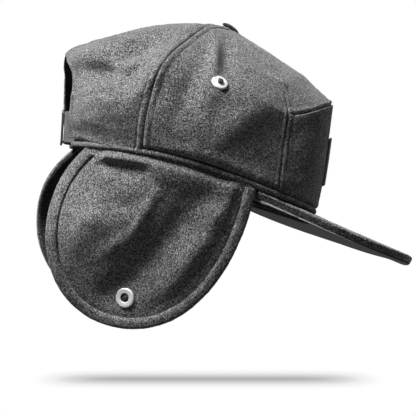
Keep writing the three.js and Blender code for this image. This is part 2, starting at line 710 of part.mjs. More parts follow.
// The place and direction on a flap where the snap sits.
function snapSeat(hang) {
  const lift = FLAP.thick / 2;
  const low = flapAt(hang, SNAP.x, SNAP.z, lift, 1);
  const out = flapAt(hang, SNAP.x, SNAP.z, lift + 1, 1).sub(low).normalize();
  return { place: low.addScaledVector(out, 2 * GAP), out };
}

// The place and direction on the crown where the stud sits, found by angle and level.
function studSeat(side) {
  let angle = 90;
  let level = CREASE_LEVEL;
  for (let n = 0; n < SEARCH_STEPS; n += 1) {
    const point = crownBase(angle, level);
    angle += degrees((point.x - STUD.x) / crownProfile(angle, level).radius);
    level += (STUD.z - point.z) / LEVEL_HEIGHT;
  }
  const out = crownNormal(side * angle, level);
  return { place: crownAt(side * angle, level, 0).addScaledVector(out, 2 * GAP), out };
}

function frontPatch() {
  const face = (depth) => (i, j) => {
    const y = lerp(-PATCH.halfWidth, PATCH.halfWidth, i / PATCH.columns);
    const height = lerp(PATCH.low, PATCH.high, j / PATCH.rows);
    const angle = degrees(Math.asin(y / PATCH.radius));
    const cloth = crownAt(angle, levelAbove(angle, height), depth);
    const middle = crownAt(0, levelAbove(0, height), depth);
    return cloth.setX(lerp(middle.x, cloth.x, PATCH.bend));
  };
  return sheet(face(-GAP - PATCH.thick), face(-GAP), PATCH.columns, PATCH.rows);
}

// Assembly

const group = new THREE.Group();

function add(name, geometry, finish) {
  const mesh = new THREE.Mesh(geometry, new THREE.MeshStandardMaterial(finish));
  mesh.name = name;
  group.add(mesh);
  return mesh;
}

const belowCrease = () => CREASE_LEVEL - CREASE_GAP;
const aboveCrease = () => CREASE_LEVEL + CREASE_GAP;
const FRONT = { from: -FRONT_SEAM, to: FRONT_SEAM, columns: 14 };
add('front_panel', crownPanel({ ...FRONT, low: fromRim, high: belowCrease, rows: 8 }), COLOURS.wool);
add('top_panel', crownPanel({ ...FRONT, low: aboveCrease, high: topLevel, rows: 6 }), COLOURS.wool);
add('rim_welt', rimWelt(), COLOURS.wool);
add('sweatband', sweatband(), COLOURS.lining);
add('visor', visor(), COLOURS.wool);
add('visor_underlay', visorUnderlay(), COLOURS.greyCotton);
add('back_strap', backStrap(), COLOURS.webbing);
add('strap_slide', strapSlide(), COLOURS.steel);
add('front_patch', frontPatch(), COLOURS.patch);

const button = add('crown_button', turned(BUTTON_PROFILE, BUTTON.sides), COLOURS.darkWool);
const tip = radians(BUTTON.tip);
setOn(button, new THREE.Vector3(0, 0, BUTTON.rise), new THREE.Vector3(Math.sin(tip), 0, Math.cos(tip)));

for (const [name, hang] of Object.entries(FLAP_HANG)) {
  add(`side_panel_${name}`, sidePanel(hang.side), COLOURS.wool);
  add(`back_panel_${name}`, backPanel(hang.side), COLOURS.wool);
  add(`earflap_${name}`, earflap(hang), COLOURS.wool);
  add(`earflap_binding_${name}`, earflapBinding(hang), COLOURS.wool);
  const snap = snapSeat(hang);
  const ring = add(`flap_snap_${name}`, turned(SNAP_PROFILE, SNAP.sides), COLOURS.steel);
  setOn(ring, snap.place, snap.out);
  const stud = studSeat(hang.side);
  const flange = add(`crown_stud_${name}`, turned(STUD_PROFILE, STUD.sides), COLOURS.steel);
  setOn(flange, stud.place, stud.out);
}

export default group;
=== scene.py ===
import math

import bpy
import numpy as np
from mathutils import Matrix, Vector


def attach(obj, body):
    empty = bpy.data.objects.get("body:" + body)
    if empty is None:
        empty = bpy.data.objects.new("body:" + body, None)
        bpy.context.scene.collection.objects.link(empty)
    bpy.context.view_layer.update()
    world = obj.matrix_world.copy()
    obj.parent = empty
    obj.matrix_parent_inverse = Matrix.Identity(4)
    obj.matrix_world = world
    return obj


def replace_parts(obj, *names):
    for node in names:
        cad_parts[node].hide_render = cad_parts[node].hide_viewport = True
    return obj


# A charcoal wool cap with earflaps. Shapes are worked out in millimetres, in the frame of the solids, from
# the same sizes as theirs, and become metres when a mesh is made.
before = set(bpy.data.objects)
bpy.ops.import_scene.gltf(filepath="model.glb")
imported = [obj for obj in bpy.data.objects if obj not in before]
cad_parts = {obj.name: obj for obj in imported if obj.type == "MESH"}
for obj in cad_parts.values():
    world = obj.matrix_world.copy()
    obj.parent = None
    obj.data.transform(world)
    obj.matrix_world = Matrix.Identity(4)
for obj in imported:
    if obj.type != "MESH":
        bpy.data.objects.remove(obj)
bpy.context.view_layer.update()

MM = 0.001
SMALL = 1e-9

# The crown

# Meridians of the crown: name, angle from the front, and crispness (1 gives straight lines between levels).
MERIDIANS = (
    ("front", 0, 1),
    ("quarter", 20, 1),
    ("seam", 48.5, 0.85),
    ("side", 90, 0.15),
    ("rear seam", 121, 0),
    ("back", 180, 0),
)
# Radius at each level, from rim to apex, on the six meridians.
RADII = (
    (95.5, 97, 87.5, 78, 84, 98.5),
    (95, 96.3, 87, 80, 88, 101),
    (92.8, 94.2, 84.5, 81, 92, 106),
    (89.8, 91, 81.5, 79, 92, 111),
    (87.3, 88.3, 79.5, 73, 86, 112),
    (60.5, 63, 63, 57, 65, 87.5),
    (30, 31.5, 33, 31, 36, 47),
    (0, 0, 0, 0, 0, 0),
)
# Height at each level, on the same meridians.
HEIGHTS = (
    (0, 0.8, 4, 9, 8, 1),
    (18, 18, 18, 24, 22, 17),
    (40, 39, 35, 41, 39, 35),
    (66, 63, 52, 58, 56, 53),
    (84, 80.5, 65, 74, 73.5, 70),
    (98.8, 96.4, 87, 92, 94, 87.5),
    (109, 108.6, 107, 110.5, 113.3, 107.5),
    (118.8, 118.8, 118.8, 118.8, 118.8, 118.8),
)
FRONT_SEAM, REAR_SEAM = 48.5, 121
CREASE_LEVEL, APEX_LEVEL = 4, 7
ANGLE_STEP, LEVEL_STEP = 1.5, 0.12

# Folds, seen from the side: x, z, direction in degrees, half length, half width, height (negative is a dent).
CROWN_FOLDS = (
    (-70, 91, 36, 44, 6, 3.0),
    (-80, 27, 8, 36, 16, 4.6),
    (-12, 96, 80, 18, 6, -1.0),
    (22, 72, 80, 16, 9, 1.0),
    (47, 40, 78, 32, 14, -1.4),
)
# Small creases that only the finished cloth has, on the wearer's right.
RIGHT_CREASES = (
    (-92, 42, 24, 10, 2.4, 1.3),
    (-76, 40, 14, 14, 5.5, 2.4),
    (-66, 26, 10, 12, 6, -1.6),
    (-84, 59, 10, 14, 7.5, -7.0),
    (-66, 82, 34, 22, 6.5, -8.0),
    (-62, 66, 58, 22, 4.5, -1.6),
    (-47, 68, 67, 30, 6, 4.4),
    (-22, 69, 80, 28, 7, -3.2),
    (-8, 50, 88, 24, 8, 2.4),
    (-10, 92, 97, 15, 4, 3.6),
    (0, 92, 97, 17, 6, -5.0),
    (-3, 64, 4, 9, 6, 1.4),
    (23, 53, 52, 24, 10, 2.6),
    (4, 30, 84, 34, 17, 4.0),
    (-34, 22, 30, 20, 8, 0.8),
    (-99, 50, 105, 22, 5, -1.2),
)
# The same on the wearer's left.
LEFT_CREASES = (
    (-106, 42, 90, 25, 14, 5.2),
    (-52, 60, 50, 26, 6, -0.9),
    (-30, 34, 20, 24, 7, 0.9),
    (8, 58, 76, 26, 6, -1.0),
    (30, 30, 60, 22, 7, 0.8),
)
# The cloth's roll over the rim's piping: place above the rim, half width, height, middle and reach in x.
RIM_ROLL = {"above": 9.5, "wide": 4.8, "height": 2.6, "middle": 6, "reach": 36}
FOLD_FADE = 34
FOLD_START_LEVEL = 0.3
LEVEL_HEIGHT = 21

PANEL_THICK = 2.0
PANEL_ABOVE_RIM = 4.5
PANEL_TOP_RADIUS = 4
PANEL_STEP = 1.1
BUTTON_LEVEL = 6.0
GAP = 0.3
SEAM_GAP = 0.08
# Kinds of edge. dip and width are the depth and half width of the groove at the edge and round the edge's own
# radius. puff is the height of the padded strip beside it, and row, row_dip and row_width are the stitched
# groove's place, depth and half width.
EDGE_COLUMNS = ("dip", "width", "round", "puff", "row", "row_dip", "row_width")
EDGE_KINDS = {
    "felled": (0.7, 0.7, 0.3, 0.6, 5.2, 0.75, 0.7),
    "crease": (0.9, 0.7, 0.3, 0.5, 5.4, 0.5, 0.7),
    "under crease": (1.0, 0.7, 0.3, 0.1, 9, 0, 1),
    "faint": (0.3, 0.6, 0.2, 0.6, 4.4, 0.3, 0.7),
    "front rim": (0.6, 1.1, 0.4, 0.1, 7, 0, 1),
    "rim": (1.5, 1.6, 0.6, 0.3, 7, 0, 1),
    "hem": (0, 1, 1.2, 0.35, 6, 0.45, 0.8),
    "plain": (0, 1, 0.5, 0, 6, 0, 1),
}
EDGES = {kind: dict(zip(EDGE_COLUMNS, row)) for kind, row in EDGE_KINDS.items()}
# The stitches' uneven pull: lump size, seed, and its share in the padded strip and in the stitched groove.
PUCKER = {"size": 3.0, "seed": 7, "puff": 0.8, "row": 0.6}
# The padded strip's half width goes into the stitched row's distance this often.
PUFF_NARROW = 3.4
# How far wool relief fades in from an edge, and the share of the grooves that shows inside.
RELIEF_FADE = 1.5
INSIDE_GROOVE = 0.3
# The least share of its bounding rectangle that a sheet's cut may be declared with.
LEAST_CUT = 0.31


def smooth(value):
    value = np.clip(value, 0, 1)
    return value * value * (3 - 2 * value)


def lerp(a, b, share):
    return a + (b - a) * share


def hump(value, place, wide):
    """A rounded hump of height 1 at a place, with its half width."""
    return np.exp(-(((value - place) / wide) ** 2))


def through_knots(knots, values, at, flat_ends):
    """Cubic through values (one row for each knot) at the places `at`, as the solids have it."""
    knots = np.asarray(knots, float)
    last = len(knots) - 1
    k = np.clip(np.searchsorted(knots, at, side="right") - 1, 0, last - 1)
    slopes = np.zeros_like(values)
    slopes[1:-1] = (values[2:] - values[:-2]) / (knots[2:] - knots[:-2])[:, None]
    if not flat_ends:
        slopes[0] = (values[1] - values[0]) / (knots[1] - knots[0])
        slopes[-1] = (values[-1] - values[-2]) / (knots[-1] - knots[-2])
    i = np.arange(len(at))
    span = knots[k + 1] - knots[k]
    t = (at - knots[k]) / span
    low, high = 2 * t**3 - 3 * t**2 + 1, 3 * t**2 - 2 * t**3
    rise, fall = (t**3 - 2 * t**2 + t) * span, (t**3 - t**2) * span
    return low * values[k, i] + rise * slopes[k, i] + high * values[k + 1, i] + fall * slopes[k + 1, i]


def crown_profile(angle, level):
    """Radius and height of the crown, for arrays of angle and level."""
    shape = np.broadcast(angle, level).shape
    angle = np.abs(np.broadcast_to(angle, shape)).ravel().astype(float)
    level = np.broadcast_to(level, shape).ravel().astype(float)
    below = np.clip(np.floor(level).astype(int), 0, APEX_LEVEL - 1)
    found = []
    for table in (np.array(RADII, float), np.array(HEIGHTS, float)):
        on_meridians = []
        for column, (_, _, crisp) in enumerate(MERIDIANS):
            knots = np.repeat(table[:, column][:, None], len(level), axis=1)
            curved = through_knots(range(APEX_LEVEL + 1), knots, level, False)
            straight = lerp(table[below, column], table[below + 1, column], level - below)
            on_meridians.append(lerp(curved, straight, crisp))
        angles = [at for _, at, _ in MERIDIANS]
        found.append(through_knots(angles, np.array(on_meridians), angle, True).reshape(shape))
    return found


def crown_base(angle, level):
    radius, height = crown_profile(angle, level)
    turn = np.radians(angle)
    return np.stack([radius * np.cos(turn), radius * np.sin(turn), height], axis=-1)


def unit(vectors):
    return vectors / np.maximum(np.linalg.norm(vectors, axis=-1, keepdims=True), SMALL)


def crown_normal(angle, level):
    around = crown_base(angle + ANGLE_STEP, level) - crown_base(angle - ANGLE_STEP, level)
    low = np.maximum(level - LEVEL_STEP, 0)
    high = np.minimum(level + LEVEL_STEP, APEX_LEVEL)
    return unit(np.cross(around, crown_base(angle, high) - crown_base(angle, low)))


def fold_height(folds, x, z):
    total = np.zeros(np.broadcast(x, z).shape)
    for fold_x, fold_z, turn, long, wide, height in folds:
        turn = math.radians(turn)
        along = (x - fold_x) * math.cos(turn) + (z - fold_z) * math.sin(turn)
        across = (z - fold_z) * math.cos(turn) - (x - fold_x) * math.sin(turn)
        total += height * np.exp(-((along / long) ** 2) - (across / wide) ** 2)
    return total


def crown_frame(angle, level):
    """The crown's outer face with its folds, and its outward normal."""
    base = crown_base(angle, level)
    x, y, z = base[..., 0], base[..., 1], base[..., 2]
    fade = smooth(np.abs(y) / FOLD_FADE) * smooth(level - FOLD_START_LEVEL)
    lift = fold_height(CROWN_FOLDS, x, z)
    lift = lift + np.where(y > 0, fold_height(LEFT_CREASES, x, z), fold_height(RIGHT_CREASES, x, z))
    out = crown_normal(angle, level)
    above = z - crown_profile(angle, 0 * level)[1]
    roll = RIM_ROLL["height"] * hump(above, RIM_ROLL["above"], RIM_ROLL["wide"])
    roll = roll * hump(x, RIM_ROLL["middle"], RIM_ROLL["reach"])
    return base + out * (fade * lift + smooth(np.abs(y) / FOLD_FADE) * roll)[..., None], out


def crown_at(angle, level, depth):
    point, out = crown_frame(angle, level)
    return point - out * depth[..., None]


HALVINGS = 28


def halved(low, high, is_under):
    """The values between low and high up to which is_under holds, found by halving the ranges."""
    for _ in range(HALVINGS):
        middle = (low + high) / 2
        under = is_under(middle)
        low, high = np.where(under, middle, low), np.where(under, high, middle)
    return (low + high) / 2


def level_above(angle, height):
    """The level that lies a height above the rim, for arrays of angle and height."""
    angle, height = np.broadcast_arrays(np.asarray(angle, float), np.asarray(height, float))
    low, high = np.zeros(angle.shape), np.full(angle.shape, BUTTON_LEVEL)
    rim = crown_profile(angle, low)[1]
    return halved(low, high, lambda level: crown_profile(angle, level)[1] - rim < height)


def rim_level(angle):
    """The level of the panels' lower edge."""
    return level_above(angle, np.full(np.shape(angle), PANEL_ABOVE_RIM))


def top_level(angle):
    """The level at which the crown is as narrow as the hole under the button."""
    low, high = np.full(np.shape(angle), BUTTON_LEVEL), np.full(np.shape(angle), float(APEX_LEVEL))
    return halved(low, high, lambda level: crown_profile(angle, level)[0] > PANEL_TOP_RADIUS)


# Cloth noise, the same at each run

SEED_SHIFT = 17.31
HASH = {"x": 73856093, "y": 19349663, "z": 83492791, "seed": 2654435, "times": 1103515245, "plus": 12345}
HASH_MASK, HASH_RANGE = 0x7FFFFFFF, 65536
# Relief of the felted surface: height, lump size and seed of its lumps, tufts and fuzz.
FELT = ((0.20, 11, 1), (0.12, 3.2, 2), (0.16, 1.5, 3))


def noise(points, size, seed):
    """Smooth noise from -1 to 1 over points, with lumps of about a size in millimetres."""
    place = points / size + seed * SEED_SHIFT
    cell = np.floor(place).astype(np.int64)
    share = smooth(place - cell)
    total = np.zeros(points.shape[:-1])
    for corner in np.ndindex(2, 2, 2):
        x, y, z = np.moveaxis(cell + np.array(corner), -1, 0)
        mixed = x * HASH["x"] ^ y * HASH["y"] ^ z * HASH["z"] ^ seed * HASH["seed"]
        value = ((mixed * HASH["times"] + HASH["plus"]) & HASH_MASK) % HASH_RANGE / (HASH_RANGE / 2) - 1
        weight = np.prod(np.where(corner, share, 1 - share), axis=-1)
        total += weight * value
    return total


def wool_relief(points):
    return sum(height * noise(points, size, seed) for height, size, seed in FELT)


# Meshes

def make(name, points, faces, material):
    """A piece of the hat from points in millimetres. It rides on the hat's one body."""
    mesh = bpy.data.meshes.new(name)
    mesh.from_pydata((np.asarray(points).reshape(-1, 3) * MM).tolist(), [], faces)
    mesh.polygons.foreach_set("use_smooth", [True] * len(mesh.polygons))
    for one in material if isinstance(material, (list, tuple)) else [material]:
        mesh.materials.append(one)
    mesh.validate()
    mesh.update()
    piece = bpy.data.objects.new(name, mesh)
    bpy.context.scene.collection.objects.link(piece)
    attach(piece, "root")
    return piece


def grid_faces(columns, rows, start=0, flip=False):
    at = start + np.arange(columns * rows).reshape(columns, rows)
    quads = np.stack([at[:-1, :-1], at[1:, :-1], at[1:, 1:], at[:-1, 1:]], axis=-1).reshape(-1, 4)
    return quads[:, ::-1] if flip else quads


def shell(name, outer, inner, materials):
    """A closed sheet from two grids of points. Its second material, if any, goes on the inner face."""
    columns, rows, _ = outer.shape
    half = columns * rows
    at = np.arange(half).reshape(columns, rows)
    rim = np.concatenate([at[:, 0], at[-1, 1:], at[-2::-1, -1], at[0, -2:0:-1]])
    ahead = np.roll(rim, -1)
    walls = np.stack([ahead, rim, rim + half, ahead + half], axis=-1)
    front, back = grid_faces(columns, rows), grid_faces(columns, rows, half, flip=True)
    faces = np.concatenate([front, walls, back])
    points = np.concatenate([outer.reshape(-1, 3), inner.reshape(-1, 3)])
    a, b, c = (points[front[:, k]] for k in range(3))
    middle = (outer - inner).reshape(-1, 3)[front[:, 0]]
    if (np.cross(b - a, c - a) * middle).sum() < 0:
        faces = faces[:, ::-1]
    piece = make(name, points, faces.tolist(), materials)
    if isinstance(materials, (list, tuple)):
        marks = np.zeros(len(faces), np.int32)
        marks[len(front) + len(walls):] = 1
        piece.data.polygons.foreach_set("material_index", marks)
    return piece


def tube(name, rings, material):
    """A closed bar from rings of points, with a fan at each end."""
    count, sides, _ = rings.shape
    faces = []
    for i in range(count - 1):
        for k in range(sides):
            a, b = i * sides + k, i * sides + (k + 1) % sides
            faces.append((a, b, b + sides, a + sides))
    points = np.concatenate([rings.reshape(-1, 3), rings[0].mean(0)[None], rings[-1].mean(0)[None]])
    first, last, end = count * sides, count * sides + 1, (count - 1) * sides
    for k in range(sides):
        ahead = (k + 1) % sides
        faces.append((ahead, k, first))
        faces.append((end + k, end + ahead, last))
    points_of = points[np.array([f[:3] for f in faces])]
    volume = np.einsum("ij,ij->i", points_of[:, 0], np.cross(points_of[:, 1], points_of[:, 2])).sum()
    if volume < 0:
        faces = [face[::-1] for face in faces]
    return make(name, points, faces, material)


def distances(points):
    """Distance along the sheet of each point from the grid's first and last column and row."""
    across = np.linalg.norm(np.diff(points, axis=0), axis=-1)
    across = np.concatenate([np.zeros((1, points.shape[1])), np.cumsum(across, axis=0)])
    up = np.linalg.norm(np.diff(points, axis=1), axis=-1)
    up = np.concatenate([np.zeros((points.shape[0], 1)), np.cumsum(up, axis=1)], axis=1)
    return across, across[-1:] - across, up, up[:, -1:] - up


# Distances of the first points from a panel's edge, and the most of the width that they may take.
EDGE_PLACES = np.array((0, 0.2, 0.5, 0.9, 1.5, 2.3, 3.3))
EDGE_MOST = 0.3


def spaced(width, step):
    """Shares of the way across a panel, close together at both edges, for an array of widths."""
    count = max(int(np.max(width) / step), 4)
    near = EDGE_PLACES[:, None] * np.minimum(1, EDGE_MOST * width / EDGE_PLACES[-1])[None]
    inside = np.linspace(near[-1], width - near[-1], count)[1:-1]
    return np.concatenate([near, inside, width - near[::-1]]) / width


def edge_relief(distance, kind, pucker):
    """Height of the cloth near an edge of its panel. The stitches pull the padded strip in unevenly."""
    edge = EDGES[kind]
    row = edge["row"]
    groove = -edge["dip"] * hump(distance, 0, edge["width"])
    puff = edge["puff"] * hump(distance, row / 2, row / PUFF_NARROW) * (1 + PUCKER["puff"] * pucker)
    stitched = -edge["row_dip"] * hump(distance, row, edge["row_width"]) * (1 + PUCKER["row"] * pucker)
    return groove + puff + stitched


# Radius of a sheet's rounded edge, in shares of half its thickness.
EDGE_ROUND = 1.2


def rolled_edge(to_edge, half, radius=None):
    """How far the two faces stand from the middle near a rounded edge."""
    radius = radius or EDGE_ROUND * half
    return half * np.sqrt(np.maximum(1 - (1 - np.clip(to_edge / radius, 0, 1)) ** 2, 0))


def declare_sheet(face):
    """Works out the width, length and area of the cut that covers a sheet's face, and keeps none of them."""
    across, _, up, _ = distances(face)
    width, length = float(across[-1].max()) * MM, float(up[:, -1].max()) * MM
    a, b = face[1:, :-1] - face[:-1, :-1], face[:-1, 1:] - face[:-1, :-1]
    c, d = face[:-1, 1:] - face[1:, 1:], face[1:, :-1] - face[1:, 1:]
    area = (np.linalg.norm(np.cross(a, b), axis=-1) + np.linalg.norm(np.cross(c, d), axis=-1)).sum() / 2
    area = float(np.clip(area * MM * MM, LEAST_CUT * width * length, width * length))


def cloth_shell(name, angle, level, edges, turns_to=None):
    """A panel of the crown over grids of angle and level. edges are the kinds of its four edges.
    turns_to is the kind that the second edge becomes, with its share at each place."""
    face, out = crown_frame(angle, level)
    near = distances(face)
    pucker = noise(face, PUCKER["size"], PUCKER["seed"])
    reliefs = [edge_relief(distance, kind, pucker) for distance, kind in zip(near, edges)]
    if turns_to:
        reliefs[1] = lerp(reliefs[1], edge_relief(near[1], turns_to[0], pucker), turns_to[1])
    relief = sum(reliefs)
    to_edge = np.minimum.reduce(near)
    half = PANEL_THICK / 2
    rolled = np.minimum.reduce([rolled_edge(d, half, EDGES[kind]["round"]) for d, kind in zip(near, edges)])
    fade = smooth(to_edge / RELIEF_FADE)
    high = relief + fade * wool_relief(face) - half + rolled
    low = -half - rolled + np.minimum(relief, 0) * INSIDE_GROOVE
    outer = face + out * high[..., None]
    # The inner face takes the darker copy of the wool: painted shade.
    piece = shell(name, outer, face + out * low[..., None], [WOOL, INSIDE_WOOL_PAINTED_SHADE])
    declare_sheet(face)
    return {"piece": piece, "face": outer, "out": out, "near": near}


def seam_shift(angle, level):
    return np.degrees(SEAM_GAP / 2 / crown_profile(angle, level)[0])


def plain_panel(name, start, end, low_of, high_of, edges):
    """A panel between two seams. low_of and high_of give its lower and upper level at an angle."""
    guess = np.linspace(start, end, 60)
    rows = int((np.max(high_of(guess)) - np.min(low_of(guess))) * LEVEL_HEIGHT / PANEL_STEP)
    share = np.linspace(0, 1, rows)
    middle = np.array([(start + end) / 2])
    level = lerp(low_of(middle)[0], high_of(middle)[0], share)
    radius = crown_profile(np.full(rows, middle[0]), level)[0]
    shift_start = seam_shift(np.full(rows, start), level)
    shift_end = seam_shift(np.full(rows, end), level)
    across = spaced(radius * math.radians(end - start), PANEL_STEP)
    angle = (start + shift_start) + (end - shift_end - start - shift_start) * across
    return cloth_shell(name, angle, lerp(low_of(angle), high_of(angle), share[None]), edges)


# Stitches

STITCH = {
    "long": 2.7, "gap": 0.8, "start": 1, "radius": 0.3, "sunk": 0.12, "dive": 3, "ahead": 0.3, "sides": 6,
}
# A stitch's outline: share of its length and share of its radius.
SPINDLE = ((0.0, 0.0), (0.12, 0.75), (0.35, 1.0), (0.65, 1.0), (0.88, 0.75), (1.0, 0.0))


def on_line(at, along, line):
    """The place at a distance along a line of points."""
    return np.array([np.interp(at, along, line[:, k]) for k in range(3)])


def stitch_points(at, along, run, out):
    """A stitch that starts at a distance along a run: its two tips, with the rings between them."""
    points = []
    turn = np.linspace(0, 2 * math.pi, STITCH["sides"], endpoint=False)
    for share, wide in SPINDLE:
        spot = at + share * STITCH["long"]
        ahead = on_line(spot + STITCH["ahead"], along, run) - on_line(spot - STITCH["ahead"], along, run)
        up = unit(on_line(spot, along, out))
        across = unit(np.cross(unit(ahead), up))
        centre = on_line(spot, along, run) - up * STITCH["sunk"] * (1 + STITCH["dive"] * (1 - wide))
        spokes = [math.cos(angle) * across + math.sin(angle) * up for angle in turn] if wide else [across]
        points += [centre + spoke * STITCH["radius"] * wide for spoke in spokes]
    return points


def stitch_faces(first):
    faces = []
    sides, rings = STITCH["sides"], len(SPINDLE) - 2
    last = first + 1 + (rings - 1) * sides
    for k in range(sides):
        ahead = (k + 1) % sides
        faces.append((first, first + 1 + ahead, first + 1 + k))
        faces.append((first + 1 + rings * sides, last + k, last + ahead))
        for a in range(first + 1, last, sides):
            faces.append((a + k, a + ahead, a + sides + ahead, a + sides + k))
    return faces


def stitches(name, runs, material):
    """One object with all the stitches of several runs. A run is its points and the cloth's direction out."""
    points, faces = [], []
    for run, out in runs:
        along = np.concatenate([[0], np.cumsum(np.linalg.norm(np.diff(run, axis=0), axis=-1))])
        for at in np.arange(STITCH["start"], along[-1] - STITCH["long"], STITCH["long"] + STITCH["gap"]):
            faces += stitch_faces(len(points))
            points += stitch_points(at, along, run, out)
    return make(name, points, faces, material)


# How far a run of stitches stays from the panel's other edges, and at the top panel's corners.
SEAM_CLEAR, CORNER_CLEAR = 2.5, 8


def edge_run(panel, which, distance, keep_clear=SEAM_CLEAR):
    """A run along a panel, at a distance from one edge: 0 and 1 are its sides, 2 and 3 its bottom and top."""
    face, out, near = panel["face"], panel["out"], panel["near"]
    if which > 1:
        face, out = face.swapaxes(0, 1), out.swapaxes(0, 1)
    lines = [grid if which < 2 else grid.T for grid in near]
    measured = lines[which]
    order = slice(None) if which % 2 == 0 else slice(None, None, -1)
    others = [k for k in range(4) if k // 2 != which // 2]
    run, outs = [], []
    for j in range(face.shape[1]):
        column = measured[order, j]
        if column[-1] < 2 * distance:
            continue
        clear = min(np.interp(distance, column, lines[k][order, j]) for k in others)
        if clear < keep_clear:
            continue
        run.append(on_line(distance, column, face[order, j]))
        outs.append(on_line(distance, column, out[order, j]))
    return np.array(run), np.array(outs)


# Turned pieces

CORNER_CUT, CORNER_CUTS = 0.14, 3
TURNED_SIDES = 72
GATHERS = (11, 4)
DARK_ABOVE = 0.2
# A direction that no turned piece points in.
NO_AXIS = (0.0, 1.0, 0.2)


def cut_corners(profile, times):
    """Rounds the corners of a profile's open line. Its two ends stay."""
    line = np.array(profile, float)
    for _ in range(times):
        a, b = line[:-1], line[1:]
        cut = np.stack([lerp(a, b, CORNER_CUT), lerp(a, b, 1 - CORNER_CUT)], axis=1).reshape(-1, 2)
        line = np.concatenate([line[:1], cut[1:-1], line[-1:]])
    return line


def turned(name, profile, place, direction, materials, painted_shade_within=0.0, gather=0.0):
    """A piece turned about its axis. Faces nearer the axis than the given radius take the second material,
    darkened steel that paints shade there.
    """
    line = cut_corners(profile, CORNER_CUTS)[1:-1]
    up = unit(np.array(direction, float))
    across = unit(np.cross(up, NO_AXIS))
    other = np.cross(up, across)
    turn = np.linspace(0, 2 * math.pi, TURNED_SIDES, endpoint=False)
    spokes = np.cos(turn)[:, None] * across + np.sin(turn)[:, None] * other
    ripple = 1 + gather * np.sin(GATHERS[0] * turn) * np.cos(GATHERS[1] * turn)
    rings = line[:, 0, None, None] * spokes * ripple[:, None] + line[:, 1, None, None] * up
    piece = tube(name, np.array(place) + rings, materials)
    # Painted shade: faces near the axis and above the base take the darkened steel.
    if painted_shade_within:
        centres = np.empty(len(piece.data.polygons) * 3)
        piece.data.polygons.foreach_get("center", centres)
        offset = centres.reshape(-1, 3) / MM - place
        high = offset @ up
        wide = np.linalg.norm(offset - high[:, None] * up, axis=1)
        dark = (wide < painted_shade_within) & (high > DARK_ABOVE)
        piece.data.polygons.foreach_set("material_index", dark.astype(np.int32))
    return piece


# The arch in the back

ARCH = {
    "half_width": 29.5, "top": 68, "shoulder": 42, "foot_angle": 164.0, "turn_rows": 42,
    "upper_rows": 72, "blend_rows": 6,
}
# Where the search for a place behind starts, how high a level is there, and the steps it takes.
SEARCH = {"angle": 170.0, "level": 2.5, "level_height": 19, "steps": 40}


def arch_place(y, z):
    """Angle and level of the crown's surface at a distance y from the middle and a height z, behind."""
    angle, level = np.full(np.shape(y), SEARCH["angle"]), np.full(np.shape(y), SEARCH["level"])
    for _ in range(SEARCH["steps"]):
        radius, height = crown_profile(angle, level)
        level = np.clip(level + (z - height) / SEARCH["level_height"], 0, APEX_LEVEL)
        angle = 180 - np.degrees(np.arcsin(np.clip(y / radius, -1, 1)))
    return angle, level


def back_panel(name, side):
    """A back panel. Its rows run from the rear seam to the arch's outline and then to the centre back."""
    rise = ARCH["top"] - ARCH["shoulder"]
    foot = np.array([ARCH["foot_angle"]])
    low_z = float(crown_profile(foot, rim_level(foot))[1][0])
    straight = np.arange(low_z, ARCH["shoulder"], PANEL_STEP)
    turn = np.linspace(0, math.pi / 2, ARCH["turn_rows"])
    y = np.concatenate([np.full(len(straight), ARCH["half_width"]), ARCH["half_width"] * np.cos(turn)])
    z = np.concatenate([straight, ARCH["shoulder"] + rise * np.sin(turn)])
    end_angle, end_level = arch_place(y, z)
    seam_angle = np.full(len(z), float(REAR_SEAM))
    start_level = level_above(seam_angle, z - crown_profile(seam_angle, 0 * z)[1])
    start_level[0] = rim_level(seam_angle[:1])[0]
    over = np.linspace(0, 1, ARCH["upper_rows"])[1:]
    top = top_level(np.array([float(REAR_SEAM), 180.0]))
    start_level = np.concatenate([start_level, lerp(start_level[-1], top[0], over)])
    end_level = np.concatenate([end_level, lerp(end_level[-1], top[1], over)])
    end_angle = np.concatenate([end_angle, np.full(len(over), 180.0)])
    arch_rows = len(z)
    start = REAR_SEAM + seam_shift(np.full(len(start_level), float(REAR_SEAM)), start_level)
    end = end_angle.copy()
    end[arch_rows:] -= seam_shift(end_angle[arch_rows:], end_level[arch_rows:])
    radius = crown_profile((start + end) / 2, (start_level + end_level) / 2)[0]
    across = spaced(radius * np.radians(end - start), PANEL_STEP)
    angle = side * (start + (end - start) * across)
    level = start_level + (end_level - start_level) * across
    over_arch = smooth((np.arange(angle.shape[1]) - arch_rows) / ARCH["blend_rows"])[None]
    return cloth_shell(name, angle, level, ("felled", "hem", "rim", "plain"), ("felled", over_arch))


# The flaps

# The flap's outline from the side, with the corners of its back and front curves: x, z.
FLAP_BACK = ((-84, 3), (-113, -48), (-85, -114.5), (-33, -114.5))
FLAP_FRONT = ((-33, -114.5), (20, -114.5), (44, -56), (40, 4))
FLAP = {
    "thick": 2.0, "half_spread": 76, "bow": 0.0036, "middle": -6, "inset": 2.8, "settle": 70, "below": -0.8,
    "top_back": -78, "top_front": 36, "corner_drop": 1.4, "fold_fade": 14, "end_share": 0.25, "turn_at": -25,
    "step": 1.15, "rows": 104, "fold_clear": 1,
}
# The cloth's roll under the rim: its place below the rim and its half widths, in front and behind.
FLAP_ROLL = {
    "at": 6.0, "at_behind": 4.6, "under": 12, "under_behind": 3.4, "over": 3.2, "height": 3.6,
    "behind_from": -28, "behind_over": 12, "back_end": -96, "back_over": 34, "edge_clear": 9, "edge_over": 6,
}
# The wool's relief inside is the outside's at a place this far off.
INSIDE_SHIFT = 50
# The hollow under the roll behind, and the pinch beside the binding, which shows less inside.
FLAP_HOLLOW = {"below": 6, "wide": 3.2, "depth": 0.9}
FLAP_PINCH = {"beside": 0.4, "wide": 1.2, "depth": 0.4, "inside": 0.5}
